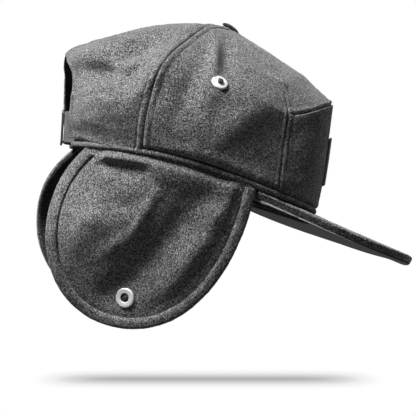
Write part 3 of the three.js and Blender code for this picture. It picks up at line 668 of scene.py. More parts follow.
# How each flap hangs: its swing in degrees, its shift along, its share of the length, its lean and where its
# back corner starts.
HANGS = {
    "right": {"side": -1, "swing": 0, "shift": 0, "rise": 1, "lean": 0.1, "corner": 4.2},
    "left": {"side": 1, "swing": 4.8, "shift": -3.0, "rise": 0.9, "lean": 0.12, "corner": 0},
}
# The flaps' folds, in the columns of CROWN_FOLDS, before the flap swings.
FLAP_FOLDS = (
    (-58, -42, 46, 46, 14, 3.4),
    (-66, -46, 60, 9, 7, 1.6),
    (-54, -30, 20, 11, 7, -1.8),
    (-62, -22, 20, 9, 5, -1.0),
    (-20, -62, 62, 60, 11, -5.0),
    (-46, -32, 40, 12, 7, -2.2),
    (-31, -34, 76, 18, 4.5, 2.6),
    (-44, -58, 50, 14, 5, 1.8),
    (8, -58, 64, 40, 9.5, 3.7),
    (20, -20, 10, 14, 9, 3.0),
    (26, -58, 66, 28, 7, -1.8),
    (4, -84, 60, 12, 5, 1.2),
    (-57, -6, -6, 22, 4.5, -1.6),
    (30, -26, 74, 18, 6, 0.8),
)
# Broad bends that take the binding along, in the same columns.
FLAP_BENDS = (
    (-32, -110, 58, 62, 36, -7.0),
    (-72, -125, 0, 70, 50, -16.0),
    (60, -50, 90, 60, 38, 8.5),
)
BINDING = {
    "outside": 1.9, "leg": 6.4, "high": 2.9, "stitch_in": 1.3, "stitch_high": 0.72,
    "step": 1.2, "relief": 0.8, "bare_ends": 4,
}

RIM_ANGLES = np.arange(0, 181.0)
RIM = crown_base(RIM_ANGLES, 0 * RIM_ANGLES)[::-1]


def rim_over_flap(x):
    """Half width and height of the rim over a place along the flap."""
    near = np.clip(x, FLAP_BACK[0][0], FLAP_FRONT[3][0])
    half, ahead, behind = (np.interp(near + step, RIM[:, 0], RIM[:, 1]) for step in (0, 1, -1))
    return half + (ahead - behind) / 2 * (x - near), np.interp(near, RIM[:, 0], RIM[:, 2])


def hung(hang, x, z):
    """Where a place in the flap's side view comes to lie when the flap swings."""
    swing = math.radians(hang["swing"])
    away = x - FLAP["turn_at"]
    moved_x = FLAP["turn_at"] + hang["shift"] + away * math.cos(swing) + z * math.sin(swing)
    return moved_x, hang["rise"] * (z * math.cos(swing) - away * math.sin(swing))


def flap_base(hang, x, z, fade):
    """The middle of the flap's cloth. fade is 0 where the binding keeps it without folds."""
    moved_x, moved_z = hung(hang, x, z)
    half_width, rim_height = rim_over_flap(moved_x)
    drop = np.maximum(rim_height - moved_z, 0)
    flat = FLAP["half_spread"] - FLAP["bow"] * (moved_x - FLAP["middle"]) ** 2
    spread = lerp(half_width - FLAP["inset"], flat, smooth(drop / FLAP["settle"])) - hang["lean"] * drop
    lift = fade * fold_height(FLAP_FOLDS, x, z) + fold_height(FLAP_BENDS, x, z)
    return np.stack([moved_x, hang["side"] * (spread + lift), moved_z], axis=-1)


def flap_frame(hang, x, z, fade):
    along = flap_base(hang, x + 1, z, fade) - flap_base(hang, x - 1, z, fade)
    up = flap_base(hang, x, z + 1, fade) - flap_base(hang, x, z - 1, fade)
    out = unit(np.cross(along, up))
    out = np.where((out[..., 1] * hang["side"] < 0)[..., None], -out, out)
    return flap_base(hang, x, z, fade), out


# How often a place is corrected when it is looked for.
CORRECTIONS = 20


def under_rim(hang, x, drop):
    """The height on the flap, before it swings, that ends up a drop below the rim."""
    z = np.zeros(np.shape(x))
    for _ in range(CORRECTIONS):
        moved_x, moved_z = hung(hang, x, z)
        z = z + rim_over_flap(moved_x)[1] - drop - moved_z
    return z


def bezier(corners, t):
    a, b, c, d = (np.array(corner, float) for corner in corners)
    t = np.asarray(t)[..., None]
    return (1 - t) ** 3 * a + 3 * (1 - t) ** 2 * t * b + 3 * (1 - t) * t**2 * c + t**3 * d


def flap_outline(hang, share):
    corner = (FLAP_BACK[0][0] + hang["corner"], FLAP_BACK[0][1])
    back = bezier((corner, *FLAP_BACK[1:]), np.clip(2 * share, 0, 1))
    front = bezier(FLAP_FRONT, np.clip(2 * share - 1, 0, 1))
    place = np.where((share < 0.5)[..., None], back, front)
    near = np.where((share < 0.5)[..., None], corner, FLAP_FRONT[3])
    wanted = under_rim(hang, near[..., 0], FLAP["below"] + FLAP["corner_drop"])
    pull = smooth(1 - np.minimum(share, 1 - share) / FLAP["end_share"])
    place[..., 1] += pull * (wanted - near[..., 1])
    return place


# The step along an outline that gives its direction, and the points that measure it.
OUTLINE_STEP, OUTLINE_POINTS = 0.004, 2001


def flap_edge(hang, share):
    """Places on the outline and the direction that points inward, in the side view."""
    step = OUTLINE_STEP
    ahead = flap_outline(hang, np.minimum(share + step, 1)) - flap_outline(hang, np.maximum(share - step, 0))
    ahead = unit(ahead)
    return flap_outline(hang, share), np.stack([-ahead[..., 1], ahead[..., 0]], axis=-1)


def even_shares(hang, step):
    """Shares of the outline at even steps along it."""
    share = np.linspace(0, 1, OUTLINE_POINTS)
    place = flap_outline(hang, share)
    along = np.concatenate([[0], np.cumsum(np.linalg.norm(np.diff(place, axis=0), axis=-1))])
    return np.interp(np.linspace(0, along[-1], int(along[-1] / step) + 1), along, share)


def flap_roll(x, drop):
    """The cloth rolls over at the rim, with a hollow under the roll behind."""
    behind = smooth((FLAP_ROLL["behind_from"] - x) / FLAP_ROLL["behind_over"])
    at = lerp(FLAP_ROLL["at"], FLAP_ROLL["at_behind"], behind)
    wide = np.where(drop > at, lerp(FLAP_ROLL["under"], FLAP_ROLL["under_behind"], behind), FLAP_ROLL["over"])
    height = FLAP_ROLL["height"] * smooth((x - FLAP_ROLL["back_end"]) / FLAP_ROLL["back_over"])
    hollow = FLAP_HOLLOW["depth"] * behind * hump(drop, at + FLAP_HOLLOW["below"], FLAP_HOLLOW["wide"])
    return height * hump(drop, at, wide) - hollow


def earflap(name, hang):
    share = even_shares(hang, FLAP["step"])
    edge = flap_outline(hang, share)
    top_x = lerp(FLAP["top_back"] + hang["corner"], FLAP["top_front"], np.linspace(0, 1, len(share)))
    top = np.stack([top_x, under_rim(hang, top_x, FLAP["below"])], axis=-1)
    place = top[:, None] + (edge - top)[:, None] * np.linspace(0, 1, FLAP["rows"])[None, :, None]
    clear = np.full(place.shape[:2], np.inf)
    for point in edge[::3]:
        clear = np.minimum(clear, np.linalg.norm(place - point, axis=-1))
    fade = smooth((clear - BINDING["leg"] - FLAP["fold_clear"]) / FLAP["fold_fade"])
    middle, out = flap_frame(hang, place[..., 0], place[..., 1], fade)
    drop = rim_over_flap(middle[..., 0])[1] - middle[..., 2]
    roll = flap_roll(middle[..., 0], drop)
    roll = roll * smooth((clear - FLAP_ROLL["edge_clear"]) / FLAP_ROLL["edge_over"])
    pinch = -FLAP_PINCH["depth"] * hump(clear, BINDING["leg"] + FLAP_PINCH["beside"], FLAP_PINCH["wide"])
    half = FLAP["thick"] / 2
    high = half + roll + pinch + wool_relief(middle)
    low = -half + FLAP_PINCH["inside"] * (pinch + wool_relief(middle + INSIDE_SHIFT))
    # The inner face takes the darker copy of the wool: painted shade.
    piece = shell(name, middle + out * high[..., None], middle + out * low[..., None], [WOOL, INSIDE_WOOL_PAINTED_SHADE])
    return piece, middle


# Section of the folded binding, with shares of its height: nose, swell and thinning near the inner edge.
BINDING_SHAPE = {
    "nose": 0.93, "swell": 0.09, "thin": 0.42, "thin_from": 0.6, "back": 0.4, "inner": 1.25, "in": 0.2,
}
NOSE_POINTS, LEG_POINTS = 13, 6


def binding_section():
    """Section of the folded binding: distance inward from the flap's edge, and height off its middle."""
    outside, leg, high, shape = BINDING["outside"], BINDING["leg"], BINDING["high"], BINDING_SHAPE
    bend = np.linspace(-math.pi / 2, math.pi / 2, NOSE_POINTS)
    start = outside * shape["back"]
    nose = np.stack([start - (outside + start) * np.cos(bend), -high * shape["nose"] * np.sin(bend)], axis=-1)
    inward = np.linspace(0, 1, LEG_POINTS + 1)[1:]
    thin = smooth((inward - shape["thin_from"]) / (1 - shape["thin_from"]))
    swell = high * (shape["nose"] + shape["swell"] * np.sin(inward * math.pi) - shape["thin"] * thin)
    upper = np.stack([lerp(start, leg, inward), swell], axis=-1)
    inner = np.array([[leg - shape["in"], -shape["inner"]], [leg - shape["in"], shape["inner"]]])
    return np.concatenate([upper[::-1], nose, upper * (1, -1), inner])


def earflap_binding(name, hang):
    share = even_shares(hang, BINDING["step"])
    place, inward = flap_edge(hang, share)
    section = binding_section()
    spot = place[:, None] + inward[:, None] * section[None, :, :1]
    middle, out = flap_frame(hang, spot[..., 0], spot[..., 1], np.zeros(spot.shape[:2]))
    points = middle + out * section[None, :, 1, None]
    away = unit(points - points.mean(axis=1, keepdims=True))
    relief = BINDING["relief"] * wool_relief(points)
    piece = tube(name, points + away * relief[..., None], [WOOL, INSIDE_WOOL_PAINTED_SHADE])
    # The inside leg takes the darker copy of the wool: painted shade.
    inside = section[:, 1] + np.roll(section[:, 1], -1) < -BINDING["high"] / 2
    marks = np.zeros(len(piece.data.polygons), np.int32)
    quads = (len(points) - 1) * len(section)
    marks[:quads] = np.tile(inside, len(points) - 1)
    piece.data.polygons.foreach_set("material_index", marks)
    return piece


def binding_stitches(name, hang):
    """Stitches on both faces of the binding, near its inner edge."""
    share = even_shares(hang, BINDING["step"])[BINDING["bare_ends"]:-BINDING["bare_ends"]]
    place, inward = flap_edge(hang, share)
    spot = place + inward * (BINDING["leg"] - BINDING["stitch_in"])
    middle, out = flap_frame(hang, spot[:, 0], spot[:, 1], np.zeros(len(spot)))
    lift = BINDING["high"] * BINDING["stitch_high"]
    return stitches(name, [(middle + out * lift, out), (middle - out * lift, -out)], THREAD)


# Nodes of the materials

def material(name, base, roughness, **settings):
    """A new material, its nodes and its principled shader."""
    made = bpy.data.materials.new(name)
    made.use_nodes = True
    shader = made.node_tree.nodes["Principled BSDF"]
    shader.inputs["Base Color"].default_value = (*base, 1)
    shader.inputs["Roughness"].default_value = roughness
    for socket, value in settings.items():
        shader.inputs[socket.replace("_", " ")].default_value = value
    return made, made.node_tree, shader


def put(tree, socket, value):
    """Links a socket to another node's output, or sets its own value."""
    if isinstance(value, bpy.types.NodeSocket):
        tree.links.new(value, socket)
    else:
        socket.default_value = value


def node(tree, kind, *places, **values):
    """A node with its inputs, by place or by name, and its settings."""
    made = tree.nodes.new(kind)
    for name, value in values.items():
        if name in made.inputs:
            put(tree, made.inputs[name], value)
        else:
            setattr(made, name, value)
    for socket, value in zip(made.inputs, places):
        put(tree, socket, value)
    return made


def noise_node(tree, scale, detail, rough, stretch=None, distortion=0.0):
    place = node(tree, "ShaderNodeTexCoord").outputs["Object"]
    if stretch:
        place = node(tree, "ShaderNodeMapping", Vector=place, Scale=stretch).outputs["Vector"]
    made = node(tree, "ShaderNodeTexNoise", Vector=place, Scale=scale, Detail=detail, Roughness=rough,
                Distortion=distortion)
    return made.outputs["Fac"]


def ramp(tree, value, stops):
    made = node(tree, "ShaderNodeValToRGB", Fac=value)
    elements = made.color_ramp.elements
    while len(elements) < len(stops):
        elements.new(0.5)
    for element, (place, colour) in zip(elements, stops):
        element.position = place
        element.color = (*colour, 1) if isinstance(colour, tuple) else (colour, colour, colour, 1)
    return made.outputs["Color"]


def multiply(tree, share, a, b):
    made = node(tree, "ShaderNodeMix", data_type="RGBA", blend_type="MULTIPLY")
    for place, value in ((0, share), (6, a), (7, b)):
        put(tree, made.inputs[place], value)
    return made.outputs[2]


def bump(tree, shader, heights):
    """Bump from several heights: pairs of value and distance in metres."""
    last = {}
    for value, distance in heights:
        made = node(tree, "ShaderNodeBump", Strength=1.0, Distance=distance, Height=value, **last)
        last = {"Normal": made.outputs["Normal"]}
    put(tree, shader.inputs["Normal"], made.outputs["Normal"])


def wool(name, dark, light, lift=1.0):
    """Heathered wool: black and pale fibres felted together, in flecks of about a millimetre."""
    made, tree, shader = material(
        name, (0.08, 0.08, 0.083), 0.95, Sheen_Weight=0.25, Sheen_Roughness=0.4, Specular_IOR_Level=0.1,
    )
    flecks = noise_node(tree, 1150, 2.0, 0.6, distortion=0.8)
    fibres = noise_node(tree, 2300, 2.0, 0.7, stretch=(0.35, 1, 1), distortion=0.5)
    other_fibres = noise_node(tree, 2300, 2.0, 0.7, stretch=(1, 1, 0.35), distortion=0.5)
    mottle = noise_node(tree, 110, 3.0, 0.6)
    colour = ramp(tree, flecks, ((0.38, dark), (0.5, lerp(dark, light, 0.30)), (0.63, light)))
    for value, stops in (
        (fibres, ((0.36, 0.45), (0.62, 1.5))),
        (other_fibres, ((0.36, 0.55), (0.62, 1.4))),
        (mottle, ((0.3, 0.84), (0.7, 1.14))),
    ):
        colour = multiply(tree, 1.0, colour, ramp(tree, value, stops))
    put(tree, shader.inputs["Base Color"], colour)
    bump(tree, shader, ((flecks, 0.0006 * lift), (fibres, 0.0003 * lift)))
    return made


def twill(name, dark, light, size, roughness):
    """Woven cotton: diagonal ribs with a little unevenness."""
    made, tree, shader = material(name, dark, roughness, Sheen_Weight=0.2, Sheen_Roughness=0.5)
    place = node(tree, "ShaderNodeTexCoord").outputs["Object"]
    ribs = node(tree, "ShaderNodeTexWave", Vector=place, Scale=size, Distortion=0.6, Detail=1.0,
                bands_direction="DIAGONAL").outputs["Fac"]
    uneven = noise_node(tree, 420, 3.0, 0.6)
    thread = ramp(tree, ribs, ((0.15, 0.75), (0.75, 1.1)))
    base = ramp(tree, uneven, ((0.3, dark), (0.7, light)))
    put(tree, shader.inputs["Base Color"], multiply(tree, 0.8, base, thread))
    bump(tree, shader, ((ribs, 0.0003), (uneven, 0.0004)))
    return made


def steel(name, dull, bright, roughness):
    """Nickelled steel with fine scratches."""
    made, tree, shader = material(name, (bright, bright, bright * 0.98), roughness, Metallic=0.6)
    worn = noise_node(tree, 900, 3.0, 0.6)
    scratches = noise_node(tree, 260, 4.0, 0.7, stretch=(1, 1, 9))
    rough = ramp(tree, worn, ((0.3, roughness - 0.08), (0.7, roughness + 0.12)))
    put(tree, shader.inputs["Roughness"], rough)
    put(tree, shader.inputs["Base Color"], ramp(tree, scratches, ((0.3, dull), (0.6, bright))))
    bump(tree, shader, ((scratches, 0.00003),))
    return made


WOOL = wool("charcoal_wool", 0.012, 0.30)
# A darker copy of the charcoal wool on every inner face and the bindings' inside legs: painted shade.
INSIDE_WOOL_PAINTED_SHADE = wool("inside_wool_painted_shade", 0.006, 0.085, 0.7)
BUTTON_CLOTH = wool("black_button_cloth", 0.005, 0.04, 0.5)
SWEATBAND_CLOTH = twill("sweatband_cotton", (0.018, 0.018, 0.020), (0.05, 0.05, 0.053), 700, 0.8)
GREY_COTTON = twill("grey_cotton", (0.32, 0.32, 0.326), (0.42, 0.42, 0.428), 620, 0.82)
WEBBING = twill("strap_webbing", (0.05, 0.05, 0.052), (0.12, 0.12, 0.124), 640, 0.75)
PATCH_CLOTH = twill("patch_cloth", (0.66, 0.64, 0.72), (0.78, 0.76, 0.84), 520, 0.55)
STEEL = steel("nickelled_steel", 0.70, 0.90, 0.5)
# Steel darkened to paint shade: the snaps' hollow centres, the studs' posts and the strap's slide.
STEEL_PAINTED_SHADE = steel("steel_painted_shade", 0.03, 0.10, 0.4)
STEEL_AND_PAINTED_SHADE = [STEEL, STEEL_PAINTED_SHADE]
THREAD = twill("thread", (0.012, 0.012, 0.013), (0.04, 0.04, 0.041), 1500, 0.6)

# The crown's pieces

CREASE_GAP = SEAM_GAP / 2 / LEVEL_HEIGHT
SIDES = {"right": -1, "left": 1}
pieces = {}

pieces["front"] = plain_panel(
    "crown_front", -FRONT_SEAM, FRONT_SEAM, rim_level,
    lambda angle: np.full(np.shape(angle), CREASE_LEVEL - CREASE_GAP),
    ("faint", "faint", "front rim", "under crease"),
)
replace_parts(pieces["front"]["piece"], "front_panel")
pieces["top"] = plain_panel(
    "crown_top", -FRONT_SEAM, FRONT_SEAM, lambda angle: np.full(np.shape(angle), CREASE_LEVEL + CREASE_GAP),
    top_level, ("faint", "faint", "crease", "plain"),
)
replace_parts(pieces["top"]["piece"], "top_panel")
for word, side in SIDES.items():
    start, end = sorted((side * FRONT_SEAM, side * REAR_SEAM))
    kinds = ("felled", "faint") if side < 0 else ("faint", "felled")
    panel = plain_panel(f"crown_side_{word}", start, end, rim_level, top_level, (*kinds, "rim", "plain"))
    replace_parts(panel["piece"], f"side_panel_{word}")
    pieces[f"side_{word}"] = panel
    panel = back_panel(f"crown_back_{word}", side)
    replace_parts(panel["piece"], f"back_panel_{word}")
    pieces[f"back_{word}"] = panel


def crown_stitches():
    rows = [("top", 2, "crease", SEAM_CLEAR)]
    rows += [("top", which, "faint", CORNER_CLEAR) for which in (0, 1)]
    for word, side in SIDES.items():
        rear, front = (0, 1) if side < 0 else (1, 0)
        rows += [(f"side_{word}", rear, "felled", SEAM_CLEAR), (f"side_{word}", front, "faint", SEAM_CLEAR)]
        rows += [(f"back_{word}", 0, "felled", SEAM_CLEAR), (f"back_{word}", 1, "hem", SEAM_CLEAR)]
    runs = [edge_run(pieces[panel], which, EDGES[kind]["row"], clear) for panel, which, kind, clear in rows]
    return stitches("crown_stitches", runs, THREAD)


crown_stitches()

# The rim's piping

WELT = {
    "half_height": 2.1, "outer_half": 1.7, "inner_half": 0.8, "rise": 2.2, "end": 163, "rings": 440,
    "sides": 14, "relief": 0.9,
}
# How far the piping's middle lies under the crown's face: angle from the front, depth.
WELT_DEPTHS = ((0, 1.6), (20, 1.6), (50, 0.9), (100, 0.9), (130, 1.2), (163, 1.2))


def rim_welt():
    angle = np.linspace(-WELT["end"], WELT["end"], WELT["rings"])
    level = level_above(angle, np.full(len(angle), WELT["rise"]))
    middle, out = crown_frame(angle, level)
    depth = np.interp(np.abs(angle), *zip(*WELT_DEPTHS))
    middle = middle - out * depth[:, None]
    around = unit(np.gradient(middle, axis=0))
    up = np.cross(out, around)
    up = np.where((up[:, 2] < 0)[:, None], -up, up)
    turn = np.linspace(0, 2 * math.pi, WELT["sides"], endpoint=False)
    wide = np.where(np.cos(turn) > 0, WELT["outer_half"], WELT["inner_half"])
    ring = (wide * np.cos(turn))[None, :, None] * out[:, None]
    ring = ring + WELT["half_height"] * np.sin(turn)[None, :, None] * up[:, None]
    points = middle[:, None] + ring
    relief = WELT["relief"] * wool_relief(points)
    return tube("rim_piping", points + unit(ring) * relief[..., None], WOOL)


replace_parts(rim_welt(), "rim_welt")

# The band inside the rim and the strap across the back

SWEATBAND = {
    "depth": 2.7, "thick": 1.4, "low": 1.8, "front_low": -3.2, "front_end": 50, "front_over": 8, "high": 29,
    "end": 149.5, "columns": 330, "rows": 34,
}
# The band's two stitched rows and its padding, whose lumps have a size and a seed.
BAND_ROW = {"place": 3, "wide": 0.7, "depth": 0.35}
BAND_PUFF = {"height": 0.35, "from_edge": 5, "size": 16, "seed": 5}


def sweatband():
    """A folded cotton band with two rows of stitches. It reaches lower behind the visor."""
    rows = SWEATBAND["rows"]
    angle = np.linspace(-SWEATBAND["end"], SWEATBAND["end"], SWEATBAND["columns"])[:, None] * np.ones(rows)
    behind = smooth((np.abs(angle) - SWEATBAND["front_end"]) / SWEATBAND["front_over"])
    low = lerp(SWEATBAND["front_low"], SWEATBAND["low"], behind)
    height = lerp(low, SWEATBAND["high"], np.linspace(0, 1, rows)[None])
    level = level_above(angle, np.maximum(height, 0))
    face, out = crown_frame(angle, level)
    face[..., 2] += np.minimum(height, 0)
    near = distances(face)
    half = SWEATBAND["thick"] / 2
    rolled = rolled_edge(np.minimum(near[2], near[3]), half)
    row = sum(hump(distance, BAND_ROW["place"], BAND_ROW["wide"]) for distance in near[2:])
    from_edges = smooth(near[2] / BAND_PUFF["from_edge"]) * smooth(near[3] / BAND_PUFF["from_edge"])
    puff = BAND_PUFF["height"] * from_edges * noise(face, BAND_PUFF["size"], BAND_PUFF["seed"])
    middle = SWEATBAND["depth"] + half
    inside = middle + rolled - BAND_ROW["depth"] * row + puff
    outer, inner = face - out * (middle - rolled)[..., None], face - out * inside[..., None]
    piece = shell("inner_band", inner, outer, SWEATBAND_CLOTH)
    band = {"face": inner, "out": -out, "near": near}
    runs = [edge_run(band, which, BAND_ROW["place"]) for which in (2, 3)]
    seams = stitches("inner_band_stitches", runs, THREAD)
    declare_sheet(face)
    return piece


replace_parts(sweatband(), "sweatband")


STRAP = {
    "thick": 1.6, "low": 2.8, "high": 25.5, "end": 153, "tuck": 3.3, "proud": 0.4, "ease": 12, "columns": 110,
    "rows": 30,
}
# Relief of the strap's long edges: place, half width and height.
STRAP_RIBS = ((1.2, 0.8, 0.18), (3, 0.5, -0.22))
SLIDE = {
    "width": 18, "height": 26, "hole_width": 12, "hole_height": 20, "thick": 1.5, "corner": 3, "bow": 0.5,
    "corner_points": 8, "sides": 16, "flat": 0.35, "edge": 0.6,
}


def strap_depth(angle):
    half = np.abs(crown_base(angle, np.ones(np.shape(angle)))[..., 1])
    share = smooth((half - ARCH["half_width"] + 1 + STRAP["ease"]) / STRAP["ease"])
    return lerp(STRAP["proud"], STRAP["tuck"], share)


def back_strap():
    """A cotton strap with ribbed edges, inside both back panels."""
    columns, rows = STRAP["columns"], STRAP["rows"]
    angle = np.linspace(STRAP["end"], 360 - STRAP["end"], columns)[:, None] * np.ones(rows)
    angle = np.where(angle > 180, angle - 360, angle)
    height = lerp(STRAP["low"], STRAP["high"], np.linspace(0, 1, rows)[None]) * np.ones((columns, 1))
    face, out = crown_frame(angle, level_above(angle, height))
    near = distances(face)
    half = STRAP["thick"] / 2
    to_edge = np.minimum(near[2], near[3])
    rolled = rolled_edge(to_edge, half)
    rib = sum(high * hump(to_edge, place, wide) for place, wide, high in STRAP_RIBS)
    depth = strap_depth(angle) + half
    outer = face - out * (depth - rolled - rib)[..., None]
    inner = face - out * (depth + rolled)[..., None]
    return shell("back_strap_webbing", outer, inner, WEBBING), face


def rounded_rectangle(width, height, corner):
    x, y = width / 2 - corner, height / 2 - corner
    line = []
    for k, (side, end) in enumerate(((1, 1), (-1, 1), (-1, -1), (1, -1))):
        for turn in np.linspace(k, k + 1, SLIDE["corner_points"]) * math.pi / 2:
            line.append((side * x + corner * math.cos(turn), end * y + corner * math.sin(turn)))
    return np.array(line)


def squarish(wave, power):
    """A sine wave with flatter tops."""
    return np.sign(wave) * np.abs(wave) ** power


def strap_slide():
    """A flat frame with rounded edges on the strap's outer face, square to it."""
    behind = np.array([180.0])
    proud = np.array([STRAP["proud"]])
    low, high = (crown_at(behind, level_above(behind, STRAP[word]), proud)[0] for word in ("low", "high"))
    up = unit(high - low)
    across = np.array([0.0, -1.0, 0.0])
    out = np.cross(across, up)
    middle = (low + high) / 2 + out * (GAP + SLIDE["thick"] / 2)
    outside = rounded_rectangle(SLIDE["width"], SLIDE["height"], SLIDE["corner"])
    inside = rounded_rectangle(SLIDE["hole_width"], SLIDE["hole_height"], SLIDE["corner"] / 2)
    sides = SLIDE["sides"]
    turn = np.linspace(0, 2 * math.pi, sides, endpoint=False)
    blend = 0.5 + 0.5 * squarish(np.cos(turn), SLIDE["flat"])
    lift = SLIDE["thick"] / 2 * squarish(np.sin(turn), SLIDE["edge"])
    flat = inside[:, None] + (outside - inside)[:, None] * blend[None, :, None]
    lift = lift[None, :, None] - SLIDE["bow"] * (1 - (2 * flat[..., 1:] / SLIDE["height"]) ** 2)
    points = middle + flat[..., :1] * across + flat[..., 1:] * up + lift * out
    at = np.arange(points.shape[0] * sides).reshape(-1, sides)
    ahead = np.roll(at, -1, axis=0)
    faces = np.stack([at, ahead, np.roll(ahead, -1, axis=1), np.roll(at, -1, axis=1)], axis=-1)
    # The whole frame takes the darkened steel: painted shade of the back opening.
    return make("strap_slide_frame", points, faces.reshape(-1, 4).tolist(), STEEL_PAINTED_SHADE)


strap, strap_face = back_strap()
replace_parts(strap, "back_strap")
slide = strap_slide()
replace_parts(slide, "strap_slide")
declare_sheet(strap_face)

# The flaps with their bindings and snaps

# The snap's hollow centre, within 3.3 mm of the axis, is darkened: painted shade.
SNAP = {"x": -26.5, "z": -93.5, "lift": 0.45, "painted_shade_within": 3.3}
# Profiles of turned pieces: distance from the axis and height.
SNAP_PROFILE = (
    (0, -0.5), (7.2, -0.5), (7.2, 1.0), (6.5, 1.6), (3.7, 1.5),
    (3.2, 1.2), (3.1, 0.3), (1.6, 0.3), (1.5, 1.2), (0, 1.3),
)
for word, hang in HANGS.items():
    flap, flap_face = earflap(f"flap_{word}", hang)
    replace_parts(flap, f"earflap_{word}")
    binding = earflap_binding(f"flap_binding_{word}", hang)
    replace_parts(binding, f"earflap_binding_{word}")
    rows = binding_stitches(f"flap_stitches_{word}", hang)
    places, outs = flap_frame(hang, np.array([SNAP["x"]]), np.array([SNAP["z"]]), 1.0)
    seat = places[0] + outs[0] * (FLAP["thick"] / 2 + SNAP["lift"])
    snap = turned(f"snap_{word}", SNAP_PROFILE, seat, outs[0], STEEL_AND_PAINTED_SHADE, SNAP["painted_shade_within"])
    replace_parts(snap, f"flap_snap_{word}")
    declare_sheet(flap_face)

# The crown's studs and its button

# The stud's post, within 2.5 mm of the axis, is darkened: painted shade.
STUD = {"x": -3, "z": 71, "angle": 90.0, "level": 4.0, "lean": 0.36, "lift": 0.45, "painted_shade_within": 2.5}
STUD_PROFILE = (
    (0, -1.5), (5.8, -1.5), (6, 0.5), (5, 0.9), (3, 0.8), (2.2, 1.3), (2.2, 2.4), (1.3, 2.8), (0, 2.8),
)
BUTTON = {"rise": 118.0, "tip": 18, "gather": 0.015}
BUTTON_PROFILE = (
    (0, -4), (2.8, -4), (2.8, 0), (6.4, 0), (7.2, 0.5), (6.3, 1.8), (3.85, 2.8), (0, 3),
)


def stud_seat(side):
    """The place on the crown where the stud sits, found from a first angle and level, and its direction."""
    angle, level = np.array([STUD["angle"]]), np.array([STUD["level"]])
    for _ in range(CORRECTIONS):
        point = crown_base(angle, level)[0]
        angle = angle + np.degrees((point[0] - STUD["x"]) / crown_profile(angle, level)[0])
        level = level + (STUD["z"] - point[2]) / LEVEL_HEIGHT
    place, out = crown_frame(side * angle, level)
    return place[0] + out[0] * STUD["lift"], unit(out[0] + np.array([0, 0, STUD["lean"]]))


for word, side in SIDES.items():
    place, out = stud_seat(side)
    stud = turned(f"stud_{word}", STUD_PROFILE, place, out, STEEL_AND_PAINTED_SHADE, STUD["painted_shade_within"])
    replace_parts(stud, f"crown_stud_{word}")

tip = math.radians(BUTTON["tip"])
button = turned("covered_button", BUTTON_PROFILE, (0, 0, BUTTON["rise"]), (math.sin(tip), 0, math.cos(tip)),
                BUTTON_CLOTH, gather=BUTTON["gather"])
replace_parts(button, "crown_button")

# The blank patch on the front

PATCH = {
    "half_width": 20, "radius": 94, "low": 22.5, "high": 58, "thick": 1.5, "bend": 0.7, "columns": 90,
    "rows": 80,
}
# The overlocked border: width, softness, height, and the height and spacing of its threads.
BORDER = {"wide": 2.6, "soft": 0.6, "high": 0.22, "thread": 0.12, "spacing": 0.95}


def front_patch():
    """A woven patch with an overlocked border and nothing on it."""
    columns, rows = PATCH["columns"], PATCH["rows"]
    y = np.linspace(-PATCH["half_width"], PATCH["half_width"], columns)[:, None] * np.ones(rows)
    height = np.linspace(PATCH["low"], PATCH["high"], rows)[None] * np.ones((columns, 1))
    angle = np.degrees(np.arcsin(y / PATCH["radius"]))
    level, front = level_above(angle, height), level_above(0 * angle, height)
    cloth, out = crown_frame(angle, level)
    middle = crown_base(0 * angle, front)
    face = cloth.copy()
    face[..., 0] = lerp(middle[..., 0], cloth[..., 0], PATCH["bend"])
    near = distances(face)
    to_edge = np.minimum.reduce(near)
    along = np.where(np.minimum(near[0], near[1]) < np.minimum(near[2], near[3]), near[2], near[0])
    border = smooth((BORDER["wide"] - to_edge) / BORDER["soft"])
    threads = border * (BORDER["high"] + BORDER["thread"] * np.sin(along * 2 * math.pi / BORDER["spacing"]))
    half = PATCH["thick"] / 2
    rolled = rolled_edge(to_edge, half)
    outer = face + out * (GAP + half + rolled + threads)[..., None]
    inner = face + out * (GAP + half - rolled)[..., None]
    piece = shell("blank_patch", outer, inner, PATCH_CLOTH)
    declare_sheet(face)
    return piece


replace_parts(front_patch(), "front_patch")

# The visor

# The visor's outline from above, the rise of its two sides, its heights, its thickness and its top corner.
VISOR = {
    "corner": 60, "tip": 174, "half_width": 87, "tip_fullness": 0.87, "side_fullness": 1.06, "side_reach": 76,
    "corner_reach": 4, "corner_from": 0.5, "front_to": 0.25, "joint_from": 30, "joint_over": 30,
    "right_rise": 1.6, "left_rise": -1.6, "right_front": 0.8, "left_front": 2.6,
    "edge_height": -4, "tip_height": -15.3, "arch": 5.2, "tuck": 2, "below": 0.6, "corner_below": 1.6,
    "thick": 5.0, "round": 1.3, "under_inset": 0.1, "columns": 240, "rows": 84, "corner_rows": 6,
}
# How far the slanting edge leans in at the bottom: share of the way from tip to corner, millimetres.
VISOR_SLANTS = ((0, 0.6), (0.4, 1.4), (0.7, 1.4), (1, 2.8))
UNDERCUT_REACH = 14
# The wool's relief grows from the bottom edge inward. An outward direction lower than this is turned round.
RELIEF_GROWS = {"over": 3, "start": 0.2}
LOWEST_OUT = -0.3
UNDERLAY = {"thick": 1.1, "inset": 0.5, "columns": 200, "rows": 70}
# The underside's slack, whose lumps have a size and a seed, and its stitched row.
UNDERLAY_PULL = {"height": 0.25, "from_edge": 5, "size": 14, "seed": 9}
UNDERLAY_ROW = {"place": 2.4, "wide": 0.6, "depth": 0.3}


def visor_joint(share):
    angle = lerp(-VISOR["corner"], VISOR["corner"], share)
    turn = np.radians(angle)
    inward = np.stack([-np.cos(turn), -np.sin(turn), 0 * turn], axis=-1)
    place = crown_base(angle, 0 * angle) + inward * VISOR["tuck"]
    to_corner = smooth((np.abs(angle) - VISOR["joint_from"]) / VISOR["joint_over"])
    place[..., 2] -= lerp(VISOR["below"], VISOR["corner_below"], to_corner)
    return place


